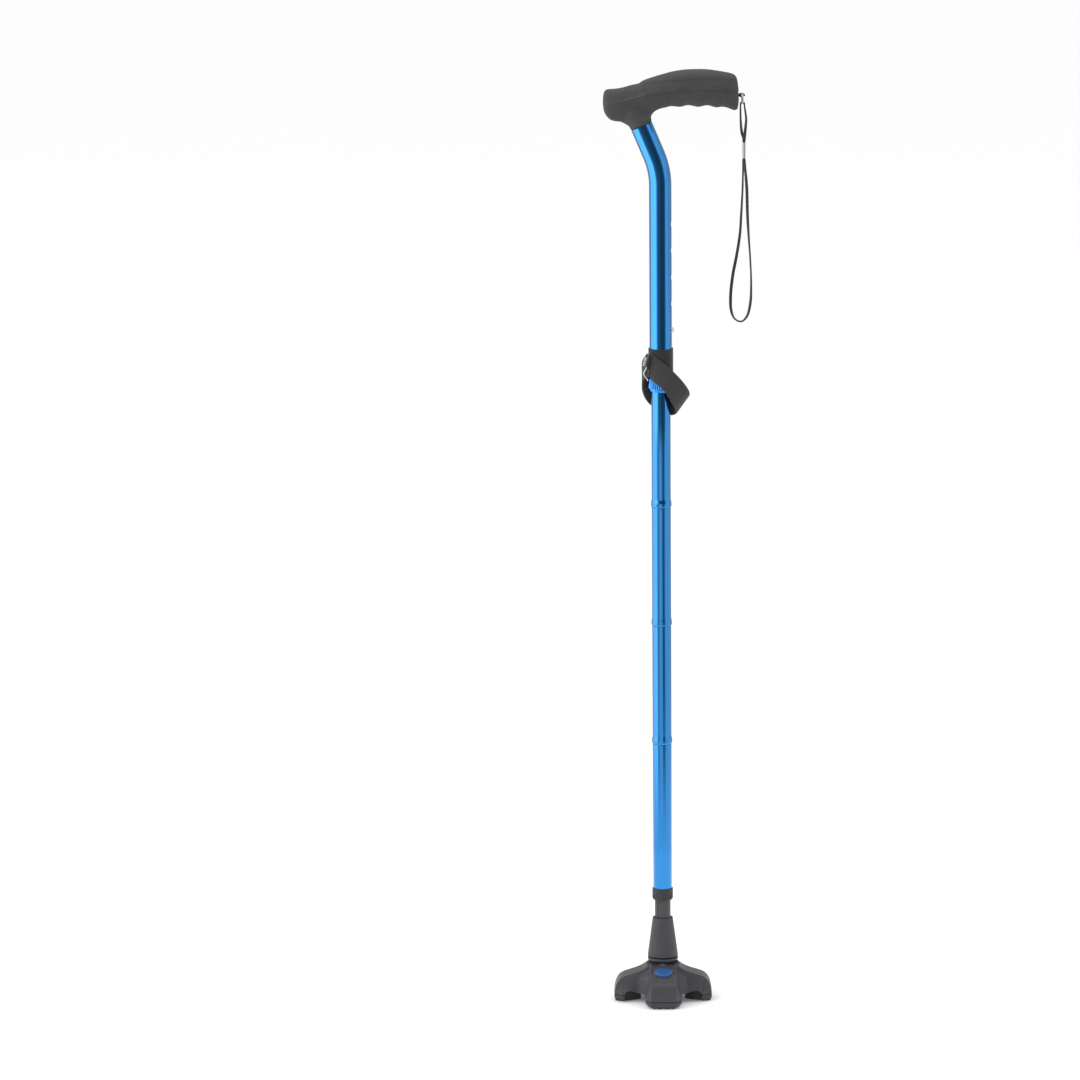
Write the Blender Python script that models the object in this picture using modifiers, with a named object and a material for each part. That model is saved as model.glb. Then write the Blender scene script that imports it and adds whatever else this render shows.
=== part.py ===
"""Folding quad walking cane: offset handle, height adjustment, three cord-held section joints, flexible quad foot.

Metres, +Z up. The origin is on the floor, in the middle of the object's box. The long end of the handle points
to +X.
"""

import math

import bmesh
import bpy
from mathutils import Matrix, Vector

# Driving dimensions
HANDLE_FRONT_REACH = 0.0842  # shaft axis to the outside of the strap eye
HANDLE_BACK_REACH = 0.0561  # shaft axis to the heel of the grip
SHAFT_X = (HANDLE_BACK_REACH - HANDLE_FRONT_REACH) / 2
TOP_Z = 0.9400  # crown of the grip, fully extended
GAP = 0.0003  # between meshes that touch on the real thing

# Tubes: 7/8 inch over 3/4 inch
UPPER_R = 0.02222 / 2
UPPER_WALL = 0.0012
SECTION_R = 0.01905 / 2
SECTION_WALL = 0.0012
SECTION_BORE = SECTION_R - SECTION_WALL
STEM_R = 0.0079
STEM_BORE = 0.0067

# Heights on the shaft
SOCKET_BOTTOM, SOCKET_TOP = 0.0443, 0.0838
NECK_RING_BOTTOM, NECK_RING_TOP = 0.0406, 0.0430
HUB_TOP = 0.0393
COLLAR_BOTTOM, COLLAR_TOP = 0.1020, 0.1143
SEAM_CD, SEAM_BC, SEAM_AB = 0.2618, 0.3823, 0.5023
SECTION_A_TOP = 0.7050
UPPER_TUBE_BOTTOM = 0.6270
NUT_BOTTOM, NUT_TOP = 0.6190, 0.6377
BUTTON_Z = 0.6803
HOLE_PITCH = 0.0265
HOLE_COUNT = 5
HOLE_R = 0.0036

# Bend of the upper tube
BEND_START_Z = 0.8246
BEND_R = 0.0790
BEND_ANGLE = math.radians(22.6)
NECK_STRAIGHT = 0.0321

# Section joints
FLARE_R = 0.0105
FLARE_HEIGHT = 0.0070
FERRULE_R, FERRULE_BORE = 0.0080, 0.0068
FERRULE_IN, FERRULE_OUT = 0.0400, 0.0450

# Flexible foot
PIVOT_Z = 0.0260
BALL_R = 0.0065
PIN_R = 0.0032
NECK_R = 0.0153
FOOT_REACH = 0.0489
PAD_TOP = 0.0070
UNDERCUT_R, UNDERCUT_Z = 0.0440, 0.0110
SOCKET_FLOOR = 0.0500
BADGE_HALF_WIDTH, BADGE_HALF_HEIGHT, BADGE_THICK = 0.0092, 0.0066, 0.0010
BADGE_DOWN_SLOPE = 0.0110  # from the top of the crown's slope to the badge's middle

# Straps
WEB_WIDTH, WEB_THICK = 0.0240, 0.0012
SLEEVE_BOTTOM, SLEEVE_TOP, SLEEVE_R = 0.6382, 0.6613, 0.0123
BUCKLE_X, BUCKLE_WIRE = -0.0186, 0.0009
CORD_R = 0.0011
EYE_X, EYE_Z = 0.0812, 0.9140
EYE_PIN_R, EYE_DISC_R, EYE_HOLE_R = 0.0014, 0.0030, 0.0013
RING_R, RING_WIRE = 0.0044, 0.00055
CRIMP_X = 0.0826
CRIMP_BOTTOM, CRIMP_TOP = 0.8515, 0.8670

# Elastic cord inside the sections
SHOCK_CORD_R = 0.0020
SHOCK_CORD_BOTTOM, SHOCK_CORD_TOP = 0.2000, 0.5900
ANCHOR_HEIGHT = 0.0080

ROUND = 32  # sides of a turned piece

BLUE = ("blue_anodised", (0.02, 0.20, 0.62, 1), 0.25, 1.0)
RUBBER = ("grip_rubber", (0.055, 0.055, 0.058, 1), 0.75, 0.0)
FOOT_PLASTIC = ("foot_plastic", (0.07, 0.068, 0.075, 1), 0.55, 0.0)
PAD_RUBBER = ("pad_rubber", (0.045, 0.045, 0.048, 1), 0.85, 0.0)
BLACK_PLASTIC = ("black_plastic", (0.03, 0.03, 0.032, 1), 0.45, 0.0)
STEEL = ("steel", (0.70, 0.70, 0.72, 1), 0.25, 1.0)
ALUMINIUM = ("aluminium", (0.60, 0.61, 0.63, 1), 0.35, 1.0)
WEBBING = ("webbing", (0.035, 0.035, 0.037, 1), 0.9, 0.0)
BRAID = ("braided_cord", (0.025, 0.025, 0.027, 1), 0.85, 0.0)
BADGE_BLUE = ("badge_blue", (0.02, 0.09, 0.35, 1), 0.35, 0.0)

for leftover in list(bpy.data.objects):
    bpy.data.objects.remove(leftover)

parts = bpy.data.collections.new("quad_walking_cane")
cutters = bpy.data.collections.new("cutters")
bpy.context.scene.collection.children.link(parts)
bpy.context.scene.collection.children.link(cutters)

shaft = bpy.data.objects.new("shaft_axis", None)
shaft.location = (SHAFT_X, 0, 0)
parts.objects.link(shaft)


# ---------------------------------------------------------------- helpers


def material(finish):
    name, colour, roughness, metallic = finish
    made = bpy.data.materials.get(name)
    if made is None:
        made = bpy.data.materials.new(name)
        made.use_nodes = True
        shader = made.node_tree.nodes["Principled BSDF"]
        shader.inputs["Base Color"].default_value = colour
        shader.inputs["Roughness"].default_value = roughness
        shader.inputs["Metallic"].default_value = metallic
    return made


def add(name, mesh, finish, parent=shaft):
    """An object in the cane's collection; its mesh is in its parent's frame."""
    made = bpy.data.objects.new(name, mesh)
    made.data.materials.clear()
    made.data.materials.append(material(finish))
    made.parent = parent
    parts.objects.link(made)
    return made


def make_cutter(made):
    """Turns an object into a hidden tool that only cuts or joins others."""
    parts.objects.unlink(made)
    cutters.objects.link(made)
    made.hide_render = True
    made.display_type = "WIRE"
    return made


def boolean(made, tool, operation):
    step = made.modifiers.new(tool.name, "BOOLEAN")
    step.object = tool
    step.operation = operation
    return step


def turned(name, profile, finish, closed=True, sides=ROUND):
    """A profile of (radius, height) turned about the parent's Z axis. It runs down its outer side."""
    mesh = bpy.data.meshes.new(name)
    count = len(profile)
    edges = [(i, i + 1) for i in range(count - 1)]
    if closed:
        edges.append((count - 1, 0))
    mesh.from_pydata([(r, 0, z) for r, z in profile], edges, [])
    made = add(name, mesh, finish)
    screw = made.modifiers.new("turn", "SCREW")
    screw.axis = "Z"
    screw.angle = 2 * math.pi
    screw.steps = screw.render_steps = sides
    screw.use_merge_vertices = True
    screw.merge_threshold = 0.00001
    screw.use_smooth_shade = True
    return made


def sleeve(name, outer, inner, bottom, top, finish):
    return turned(name, [(outer, top), (outer, bottom), (inner, bottom), (inner, top)], finish)


def rod(name, radius, bottom, top, finish, sides=ROUND):
    profile = [(0, top), (radius, top), (radius, bottom), (0, bottom)]
    return turned(name, profile, finish, closed=False, sides=sides)


def loft(name, rings, finish, closed=False, parent=shaft):
    """A skin over rings of equally many points, capped at both ends, or closed on itself."""
    bm = bmesh.new()
    rows = [[bm.verts.new(p) for p in ring] for ring in rings]
    pairs = list(zip(rows, rows[1:]))
    if closed:
        pairs.append((rows[-1], rows[0]))
    for first, second in pairs:
        for i in range(len(first)):
            j = (i + 1) % len(first)
            bm.faces.new((first[i], first[j], second[j], second[i]))
    if not closed:
        bm.faces.new(list(reversed(rows[0])))
        bm.faces.new(rows[-1])
    bmesh.ops.recalc_face_normals(bm, faces=bm.faces)
    mesh = bpy.data.meshes.new(name)
    bm.to_mesh(mesh)
    bm.free()
    return add(name, mesh, finish, parent)


def cylinder_mesh(name, radius, start, end, sides=ROUND, end_radius=None):
    """A closed cylinder or cone between two points."""
    start, end = Vector(start), Vector(end)
    along = end - start
    turn = Vector((0, 0, 1)).rotation_difference(along).to_matrix().to_4x4()
    bm = bmesh.new()
    bmesh.ops.create_cone(
        bm,
        cap_ends=True,
        segments=sides,
        radius1=radius,
        radius2=radius if end_radius is None else end_radius,
        depth=along.length,
        matrix=Matrix.Translation((start + end) / 2) @ turn,
    )
    mesh = bpy.data.meshes.new(name)
    bm.to_mesh(mesh)
    bm.free()
    return mesh


def wire(name, points, radius, finish, cyclic=False, resolution=2):
    """A round wire or cord through the points, with filled ends."""
    curve = bpy.data.curves.new(name, "CURVE")
    curve.dimensions = "3D"
    spline = curve.splines.new("POLY")
    spline.points.add(len(points) - 1)
    for point, place in zip(spline.points, points):
        point.co = (*place, 1)
    spline.use_cyclic_u = cyclic
    curve.bevel_depth = radius
    curve.bevel_resolution = resolution
    curve.use_fill_caps = True
    return add(name, curve, finish)


def through(points, per_span, closed=False):
    """Points of a smooth Catmull-Rom curve through the given points."""
    count = len(points)
    spans = count if closed else count - 1
    result = []

    def at(i):
        return Vector(points[i % count] if closed else points[min(max(i, 0), count - 1)])

    for i in range(spans):
        a, b, c, d = at(i - 1), at(i), at(i + 1), at(i + 2)
        for step in range(per_span):
            t = step / per_span
            square, cube = 2 * a - 5 * b + 4 * c - d, 3 * b - a - 3 * c + d
            result.append(0.5 * (2 * b + (c - a) * t + square * t**2 + cube * t**3))
    if not closed:
        result.append(at(count - 1))
    return result


def between(table, x):
    """A value read from (x, value) pairs, with straight runs between them."""
    for (x0, v0), (x1, v1) in zip(table, table[1:]):
        if x <= x1:
            return v0 + (v1 - v0) * (x - x0) / (x1 - x0)
    return table[-1][1]


# ---------------------------------------------------------------- foot


CROWN = [(0.0040, 0.0375), (0.0150, 0.0375), (0.0187, 0.0364), (0.0246, 0.0342), (0.0323, 0.0320)]
CROWN += [(0.0399, 0.0298), (0.0449, 0.0263), (0.0476, 0.0208), (FOOT_REACH, 0.0141)]
CREST = [(0, 0.0129), (0.0399, 0.0129), (0.0449, 0.0122), (0.0476, 0.0112), (FOOT_REACH, 0.0100)]
SKIRT = [(0, 0.0190), (0.0399, 0.0189), (0.0449, 0.0180), (0.0476, 0.0158), (FOOT_REACH, 0.0132)]


def foot_arm(name, turn):
    """One arm of the foot: a flat crown between two sides that slope out, falling to a toe with cut corners."""
    spin = Matrix.Rotation(turn, 3, "Z")
    rings = []
    for reach, height in CROWN:
        crest, skirt = between(CREST, reach), between(SKIRT, reach)
        section = [(-skirt, PAD_TOP), (skirt, PAD_TOP), (crest, height), (-crest, height)]
        rings.append([spin @ Vector((reach, y, z)) for y, z in section])
    return loft(name, rings, FOOT_PLASTIC)


def make_foot():
    hub_bottom = UNDERCUT_Z - 0.001
    hub = [(0, HUB_TOP), (NECK_R, HUB_TOP), (0.0164, 0.0372), (0.0190, 0.0345), (0.0235, 0.0300)]
    hub += [(0.0270, 0.0210), (0.0282, hub_bottom), (0, hub_bottom)]
    base = turned("base_shell", hub, FOOT_PLASTIC, closed=False)
    for i in range(4):
        arm = make_cutter(foot_arm(f"arm_{i}", i * math.pi / 2))
        boolean(base, arm, "UNION")
    undercut = [(0, UNDERCUT_Z), (UNDERCUT_R - 0.004, UNDERCUT_Z)]
    undercut += [(UNDERCUT_R, 0.0060), (UNDERCUT_R, 0), (0, 0)]
    boolean(base, make_cutter(turned("undercut", undercut, FOOT_PLASTIC, closed=False)), "DIFFERENCE")
    seat = [(0, 0.0450), (0.0060, 0.0450), (0.0060, 0.0370)]
    seat += [(0.0100, 0.0320), (0.0100, 0.0050), (0, 0.0050)]
    boolean(base, make_cutter(turned("pivot_seat", seat, FOOT_PLASTIC, closed=False)), "DIFFERENCE")

    # a rubber bush grips the ball, and a plug from below holds both in
    bush = [(0.0052, 0.0315), (0.0097, 0.0315), (0.0097, 0.0182), (0.0062, 0.0182)]
    clear = BALL_R + GAP
    for i in range(7):
        angle = math.radians(-50 + i * 100 / 6)
        bush.append((clear * math.cos(angle) + 0.0002, PIVOT_Z + clear * math.sin(angle)))
    turned("flex_bush", bush, PAD_RUBBER)
    rod("ball_retainer", 0.0097, UNDERCUT_Z + GAP, 0.0178, BLACK_PLASTIC)

    for side, turn in (("right", 0), ("back", 90), ("left", 180), ("front", 270)):
        make_pad(f"foot_pad_{side}", math.radians(turn))

    make_badge()


def make_badge():
    """A plain oval on the slope of the front arm's crown, which falls away from the hub."""
    slope_top, slope_bottom = Vector((0, -0.0187, 0.0364)), Vector((0, -0.0399, 0.0298))
    down = (slope_bottom - slope_top).normalized()
    outward = down.cross(Vector((1, 0, 0)))
    centre = slope_top + down * BADGE_DOWN_SLOPE + outward * (GAP + BADGE_THICK / 2)
    rings = []
    for lift in (-BADGE_THICK / 2, BADGE_THICK / 2):
        ring = []
        for i in range(24):
            angle = 2 * math.pi * i / 24
            across = Vector((BADGE_HALF_WIDTH * math.cos(angle), 0, 0))
            ring.append(centre + across + down * (BADGE_HALF_HEIGHT * math.sin(angle)) + outward * lift)
        rings.append(ring)
    loft("badge", rings, BADGE_BLUE)


def make_pad(name, turn):
    """A rubber pad under one toe, with the toe's outline and rounded off below."""
    spin = Matrix.Rotation(turn, 3, "Z")
    corners = [(0.0380, 0.0180), (0.0440, 0.0182), (0.0470, 0.0160), (FOOT_REACH - 0.0002, 0.0128)]
    outline = corners + [(reach, -half) for reach, half in reversed(corners)]
    middle = 0.0434
    rings = []
    for height, share in ((0.0, 0.84), (0.0012, 0.93), (0.0032, 0.99), (PAD_TOP - GAP, 1.0)):
        ring = [Vector((middle + (reach - middle) * share, half * share, height)) for reach, half in outline]
        rings.append([spin @ p for p in ring])
    return loft(name, rings, PAD_RUBBER)


# ---------------------------------------------------------------- socket, stem and shaft sections


def make_socket():
    sleeve("neck_ring", NECK_R, 0.0070, NECK_RING_BOTTOM, NECK_RING_TOP, PAD_RUBBER)
    pin_bore, stem_bore = PIN_R + GAP, STEM_R + GAP
    socket = [(0.0100, SOCKET_TOP), (NECK_R, SOCKET_BOTTOM), (pin_bore, SOCKET_BOTTOM)]
    socket += [(pin_bore, SOCKET_FLOOR), (stem_bore, SOCKET_FLOOR), (stem_bore, SOCKET_TOP)]
    turned("socket_cone", socket, FOOT_PLASTIC)

    # ball pin: shank up through the socket floor, locked by a nut inside the stem
    pin = [(0, 0.0560), (PIN_R, 0.0560)]
    shoulder = math.asin(PIN_R / BALL_R)
    for i in range(9):
        angle = shoulder + (math.pi - shoulder) * i / 8
        pin.append((BALL_R * math.sin(angle), PIVOT_Z + BALL_R * math.cos(angle)))
    pin[-1] = (0, PIVOT_Z - BALL_R)
    turned("pivot_ball_pin", pin, STEEL, closed=False, sides=24)
    nut_bottom, nut_top = SOCKET_FLOOR + GAP, 0.0545
    hexagon_bore = pin_bore / math.cos(math.pi / 6)
    nut = [(0.0060, nut_top), (0.0060, nut_bottom), (hexagon_bore, nut_bottom), (hexagon_bore, nut_top)]
    turned("pivot_nut", nut, STEEL, sides=6)
    sleeve("stem_tube", STEM_R, STEM_BORE, SOCKET_FLOOR + GAP, 0.1600, BLACK_PLASTIC)


def make_collars():
    """The collar at the foot of the last section, and the lock nut and collet of the height adjustment."""
    turned(
        "stem_collar",
        [
            (0.0103, COLLAR_TOP),
            (0.0103, COLLAR_BOTTOM + 0.0012),
            (0.0093, COLLAR_BOTTOM),
            (STEM_R + GAP, COLLAR_BOTTOM),
            (STEM_R + GAP, 0.1063),
            (SECTION_R + GAP, 0.1063),
            (SECTION_R + GAP, COLLAR_TOP),
        ],
        BLACK_PLASTIC,
    )
    turned(
        "lock_nut",
        [
            (0.0115, NUT_TOP),
            (0.01225, NUT_TOP - 0.0008),
            (0.01225, NUT_BOTTOM + 0.0035),
            (0.0108, NUT_BOTTOM),
            (SECTION_R + GAP, NUT_BOTTOM),
            (SECTION_R + GAP, 0.6224),
            (UPPER_R + GAP, 0.6224),
            (UPPER_R + GAP, NUT_TOP),
        ],
        BLUE,
    )
    collet = sleeve("lock_collet", UPPER_R, SECTION_R + GAP, 0.6227, UPPER_TUBE_BOTTOM - GAP, BLACK_PLASTIC)
    slit = ((-0.0007, 0.0085), (0.0007, 0.0085), (0.0007, 0.0120), (-0.0007, 0.0120))
    slit_rings = [[Vector((x, y, z)) for x, y in slit] for z in (0.6200, 0.6290)]
    cut = loft("collet_slit", slit_rings, BLACK_PLASTIC)
    boolean(collet, make_cutter(cut), "DIFFERENCE")


def section_tube(name, bottom, top, flared=True):
    """A shaft section; the flared ones are swaged out at the bottom, where the next ferrule comes in."""
    outer = [(SECTION_R - 0.0004, top), (SECTION_R, top - 0.0008)]
    if flared:
        swell = bottom + FLARE_HEIGHT
        outer += [(SECTION_R, swell + 0.0015), (SECTION_R + 0.0004, swell - 0.0006)]
        outer += [(FLARE_R, swell - 0.0035), (FLARE_R, bottom + 0.0010), (FLARE_R - 0.0007, bottom)]
    else:
        outer += [(SECTION_R, bottom)]
    return turned(name, outer + [(SECTION_BORE, bottom), (SECTION_BORE, top)], BLUE)


def make_sections():
    section_tube("section_d_tube", 0.1066, SEAM_CD, flared=False)
    section_tube("section_c_tube", SEAM_CD + GAP, SEAM_BC)
    section_tube("section_b_tube", SEAM_BC + GAP, SEAM_AB)
    section_a = section_tube("section_a_tube", SEAM_AB + GAP, SECTION_A_TOP)
    hole_mesh = cylinder_mesh("button_hole", HOLE_R, (0.004, 0, BUTTON_Z), (0.016, 0, BUTTON_Z), 16)
    boolean(section_a, make_cutter(add("button_hole", hole_mesh, BLUE)), "DIFFERENCE")
    for name, seam in (("ferrule_cd", SEAM_CD), ("ferrule_bc", SEAM_BC), ("ferrule_ab", SEAM_AB)):
        sleeve(name, FERRULE_R, FERRULE_BORE, seam - FERRULE_IN, seam + FERRULE_OUT, ALUMINIUM)
    # the cap closes the top of the upper section and steadies it in the outer tube
    plug_r = SECTION_BORE - GAP
    rim, crown, plug_end = SECTION_A_TOP + GAP, SECTION_A_TOP + 0.0015, SECTION_A_TOP - 0.0060
    cap = [(0, crown), (0.0090, crown), (0.0094, rim), (plug_r, rim), (plug_r, plug_end), (0, plug_end)]
    turned("section_a_cap", cap, BLACK_PLASTIC, closed=False)


def make_shock_cord():
    """The elastic cord that pulls the sections together, between a plug in the lowest and one in the highest."""
    anchor_r = SECTION_BORE - GAP
    rod("cord_anchor_lower", anchor_r, SHOCK_CORD_BOTTOM - ANCHOR_HEIGHT, SHOCK_CORD_BOTTOM, BLACK_PLASTIC, sides=24)
    rod("cord_anchor_upper", anchor_r, SHOCK_CORD_TOP, SHOCK_CORD_TOP + ANCHOR_HEIGHT, BLACK_PLASTIC, sides=24)
    bottom, length = SHOCK_CORD_BOTTOM + GAP, SHOCK_CORD_TOP - SHOCK_CORD_BOTTOM - 2 * GAP
    wire("shock_cord", [Vector((0, 0, bottom + length * i / 3)) for i in range(4)], SHOCK_CORD_R, BRAID)


def make_button():
    """A domed button on a V-shaped leaf spring inside the upper section."""
    dome = [(0, 0.0131), (0.0012, 0.0129), (0.0023, 0.0122), (0.0030, 0.0112), (0.0032, 0.0100)]
    dome += [(0.0032, 0.0068), (0.0042, 0.0068), (0.0042, 0.0060), (0, 0.0060)]
    button = turned("snap_button", dome, STEEL, closed=False, sides=20)
    button.parent = None
    button.location = (SHAFT_X, 0, BUTTON_Z)
    button.rotation_euler = (0, math.pi / 2, 0)
    leaf, half = 0.0005, 0.0028
    spine = [(0.0054, 0.004), (0.0054, -0.004), (0.0035, -0.018)]
    spine += [(0.0, -0.0265), (-0.0045, -0.018), (-0.0070, 0.004)]
    rings = []
    for i, (x, z) in enumerate(spine):
        last_one, next_one = Vector(spine[max(i - 1, 0)]), Vector(spine[min(i + 1, len(spine) - 1)])
        way = (next_one - last_one).normalized()
        side = Vector((-way.y, way.x)) * leaf / 2
        middle = Vector((x, BUTTON_Z + z))
        near, far = middle - side, middle + side
        corners = ((near, -half), (near, half), (far, half), (far, -half))
        rings.append([Vector((p.x, y, p.y)) for p, y in corners])
    loft("button_spring", rings, STEEL)


# ---------------------------------------------------------------- upper tube and handle


def lean(distance, away=0.0, across=0.0):
    """A point by the leaning top of the tube: distance above the neck end, away in the XZ plane, across in Y."""
    bend_x = -BEND_R * (1 - math.cos(BEND_ANGLE))
    bend_z = BEND_START_Z + BEND_R * math.sin(BEND_ANGLE)
    up = Vector((-math.sin(BEND_ANGLE), 0, math.cos(BEND_ANGLE)))
    out = Vector((math.cos(BEND_ANGLE), 0, math.sin(BEND_ANGLE)))
    return Vector((bend_x, across, bend_z)) + up * (NECK_STRAIGHT + distance) + out * away


def make_upper_tube():
    rings = []
    stations = [((0, UPPER_TUBE_BOTTOM), 0.0), ((0, BEND_START_Z), 0.0)]
    for i in range(1, 9):
        angle = BEND_ANGLE * i / 8
        stations.append(((-BEND_R * (1 - math.cos(angle)), BEND_START_Z + BEND_R * math.sin(angle)), angle))
    end = lean(-GAP)
    stations.append(((end.x, end.z), BEND_ANGLE))
    for (x, z), angle in stations:
        out = Vector((math.cos(angle), 0, math.sin(angle)))
        ring = []
        for i in range(ROUND):
            turn = 2 * math.pi * i / ROUND
            round_tube = out * math.cos(turn) + Vector((0, math.sin(turn), 0))
            ring.append(Vector((x, 0, z)) + round_tube * UPPER_R)
        rings.append(ring)
    tube = loft("upper_tube", rings, BLUE)
    bm = bmesh.new()
    bm.from_mesh(tube.data)
    ends = [face for face in bm.faces if len(face.verts) > 4]
    bmesh.ops.delete(bm, geom=ends, context="FACES_ONLY")
    bm.to_mesh(tube.data)
    bm.free()
    wall = tube.modifiers.new("wall", "SOLIDIFY")
    wall.thickness = UPPER_WALL
    wall.offset = -1
    for i in range(HOLE_COUNT):
        height = BUTTON_Z + i * HOLE_PITCH
        name = f"height_hole_{i}"
        hole = add(name, cylinder_mesh(name, HOLE_R, (0.006, 0, height), (0.016, 0, height), 16), BLUE)
        boolean(tube, make_cutter(hole), "DIFFERENCE")


GRIP_TOP = [(-0.0561, 0.9050), (-0.0545, 0.9160), (-0.0510, 0.9200), (-0.0376, 0.9220), (-0.0205, 0.9266)]
GRIP_TOP += [(-0.0102, 0.9311), (0.0012, 0.9348), (0.0126, 0.9378), (0.0239, 0.9395), (0.0400, TOP_Z)]
GRIP_TOP += [(0.0535, 0.9388), (0.0700, 0.9359), (0.0760, 0.9300), (0.0778, 0.9170)]
GRIP_BOTTOM = [(-0.0561, 0.9040), (-0.0545, 0.9000), (-0.0510, 0.8930), (-0.0400, 0.8876)]
GRIP_BOTTOM += [(-0.0300, 0.8870), (-0.0200, 0.8910), (-0.0100, 0.8970), (-0.0041, 0.8994)]
GRIP_BOTTOM += [(0.0057, 0.9020), (0.0159, 0.9036)]
GRIP_BOTTOM += [(0.0273, 0.9048), (0.0364, 0.9031), (0.0466, 0.9043), (0.0580, 0.9024), (0.0750, 0.8996)]
GRIP_BOTTOM += [(0.0778, 0.9050)]
GRIP_HALF_WIDTH = [(-0.0561, 0.0060), (-0.0545, 0.0095), (-0.0500, 0.0125), (-0.0200, 0.0150)]
GRIP_HALF_WIDTH += [(0.0400, 0.0155), (0.0700, 0.0140), (0.0760, 0.0115), (0.0778, 0.0085)]


def rounded(centre, half_width, half_height, count=20, power=2.6):
    """A ring in the YZ plane, between an ellipse and a rectangle."""
    ring = []
    for i in range(count):
        angle = 2 * math.pi * i / count
        c, s = math.cos(angle), math.sin(angle)
        y = half_width * math.copysign(abs(c) ** (2 / power), c)
        z = half_height * math.copysign(abs(s) ** (2 / power), s)
        ring.append(Vector((centre[0], y, centre[1] + z)))
    return ring


def handle_core(name, grow):
    """The stiff core: a bar in the grip, a neck, and a spigot that plugs into the tube."""
    rings = []
    for x in (-0.044, -0.030, -0.015, 0.0, 0.015, 0.030, 0.045, 0.062):
        middle = (between(GRIP_TOP, x) + between(GRIP_BOTTOM, x)) / 2
        middle += 0.006 * max(0, 1 - abs(x + 0.025) / 0.03)
        rings.append(rounded((x, middle), 0.0065 + grow, 0.0060 + grow, 16))
    rings[0] = [p - Vector((grow, 0, 0)) for p in rings[0]]
    rings[-1] = [p + Vector((grow, 0, 0)) for p in rings[-1]]
    core = loft(name, rings, BLACK_PLASTIC)
    neck_mesh = cylinder_mesh(name + "_neck", 0.0078 + grow, lean(-0.010), lean(0.0280))
    boolean(core, make_cutter(add(name + "_neck", neck_mesh, BLACK_PLASTIC)), "UNION")
    if grow == 0:
        plug = cylinder_mesh(name + "_spigot", 0.0095, lean(-0.0290), lean(-0.0010))
        spigot = add(name + "_spigot", plug, BLACK_PLASTIC)
        boolean(core, make_cutter(spigot), "UNION")
    return core


def make_handle():
    rings = []
    stops = [-0.0561, -0.0545, -0.0510, -0.0440, -0.0360, -0.0270, -0.0180, -0.0090, 0.0010, 0.0110, 0.0220]
    stops += [0.0320, 0.0410, 0.0490, 0.0580, 0.0660, 0.0720, 0.0760, 0.0778]
    for x in stops:
        top, bottom = between(GRIP_TOP, x), between(GRIP_BOTTOM, x)
        rings.append(rounded((x, (top + bottom) / 2), between(GRIP_HALF_WIDTH, x), (top - bottom) / 2))
    grip = loft("grip", rings, RUBBER)
    neck_rings = []
    neck_swell = ((0.0, 0.0109), (0.0030, 0.0116), (0.0070, 0.0136), (0.0120, 0.0150), (0.0180, 0.0135))
    for distance, radius in neck_swell:
        ring = []
        for i in range(24):
            turn = 2 * math.pi * i / 24
            ring.append(lean(distance, radius * math.cos(turn), min(radius, 0.0140) * math.sin(turn)))
        neck_rings.append(ring)
    boolean(grip, make_cutter(loft("grip_neck", neck_rings, RUBBER)), "UNION")
    boolean(grip, make_cutter(handle_core("core_space", GAP)), "DIFFERENCE")
    handle_core("handle_core", 0.0)
    socket_r = EYE_PIN_R + GAP
    socket_mesh = cylinder_mesh("eye_socket", socket_r, (0.0680, 0, EYE_Z), (0.0800, 0, EYE_Z), 16)
    boolean(grip, make_cutter(add("eye_socket", socket_mesh, RUBBER)), "DIFFERENCE")


def make_eye_and_ring():
    """An eye on a pin in the end of the grip, with the split ring through it."""
    pin_mesh = cylinder_mesh("strap_eye", EYE_PIN_R, (0.0684, 0, EYE_Z), (EYE_X - 0.0020, 0, EYE_Z), 16)
    pin = add("strap_eye", pin_mesh, BLACK_PLASTIC)
    disc_mesh = cylinder_mesh("eye_disc", EYE_DISC_R, (EYE_X, -0.0012, EYE_Z), (EYE_X, 0.0012, EYE_Z), 24)
    boolean(pin, make_cutter(add("eye_disc", disc_mesh, BLACK_PLASTIC)), "UNION")
    hole_mesh = cylinder_mesh("eye_hole", EYE_HOLE_R, (EYE_X, -0.003, EYE_Z), (EYE_X, 0.003, EYE_Z), 16)
    boolean(pin, make_cutter(add("eye_hole", hole_mesh, BLACK_PLASTIC)), "DIFFERENCE")
    ring = []
    for i in range(24):
        turn = 2 * math.pi * i / 24
        ring.append(Vector((0, RING_R * math.sin(turn), RING_R * (math.cos(turn) - 1))))
    split_ring = wire("split_ring", ring, RING_WIRE, STEEL, cyclic=True)
    split_ring.parent = None
    split_ring.location = (SHAFT_X + EYE_X, 0, EYE_Z)


# ---------------------------------------------------------------- straps


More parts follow.
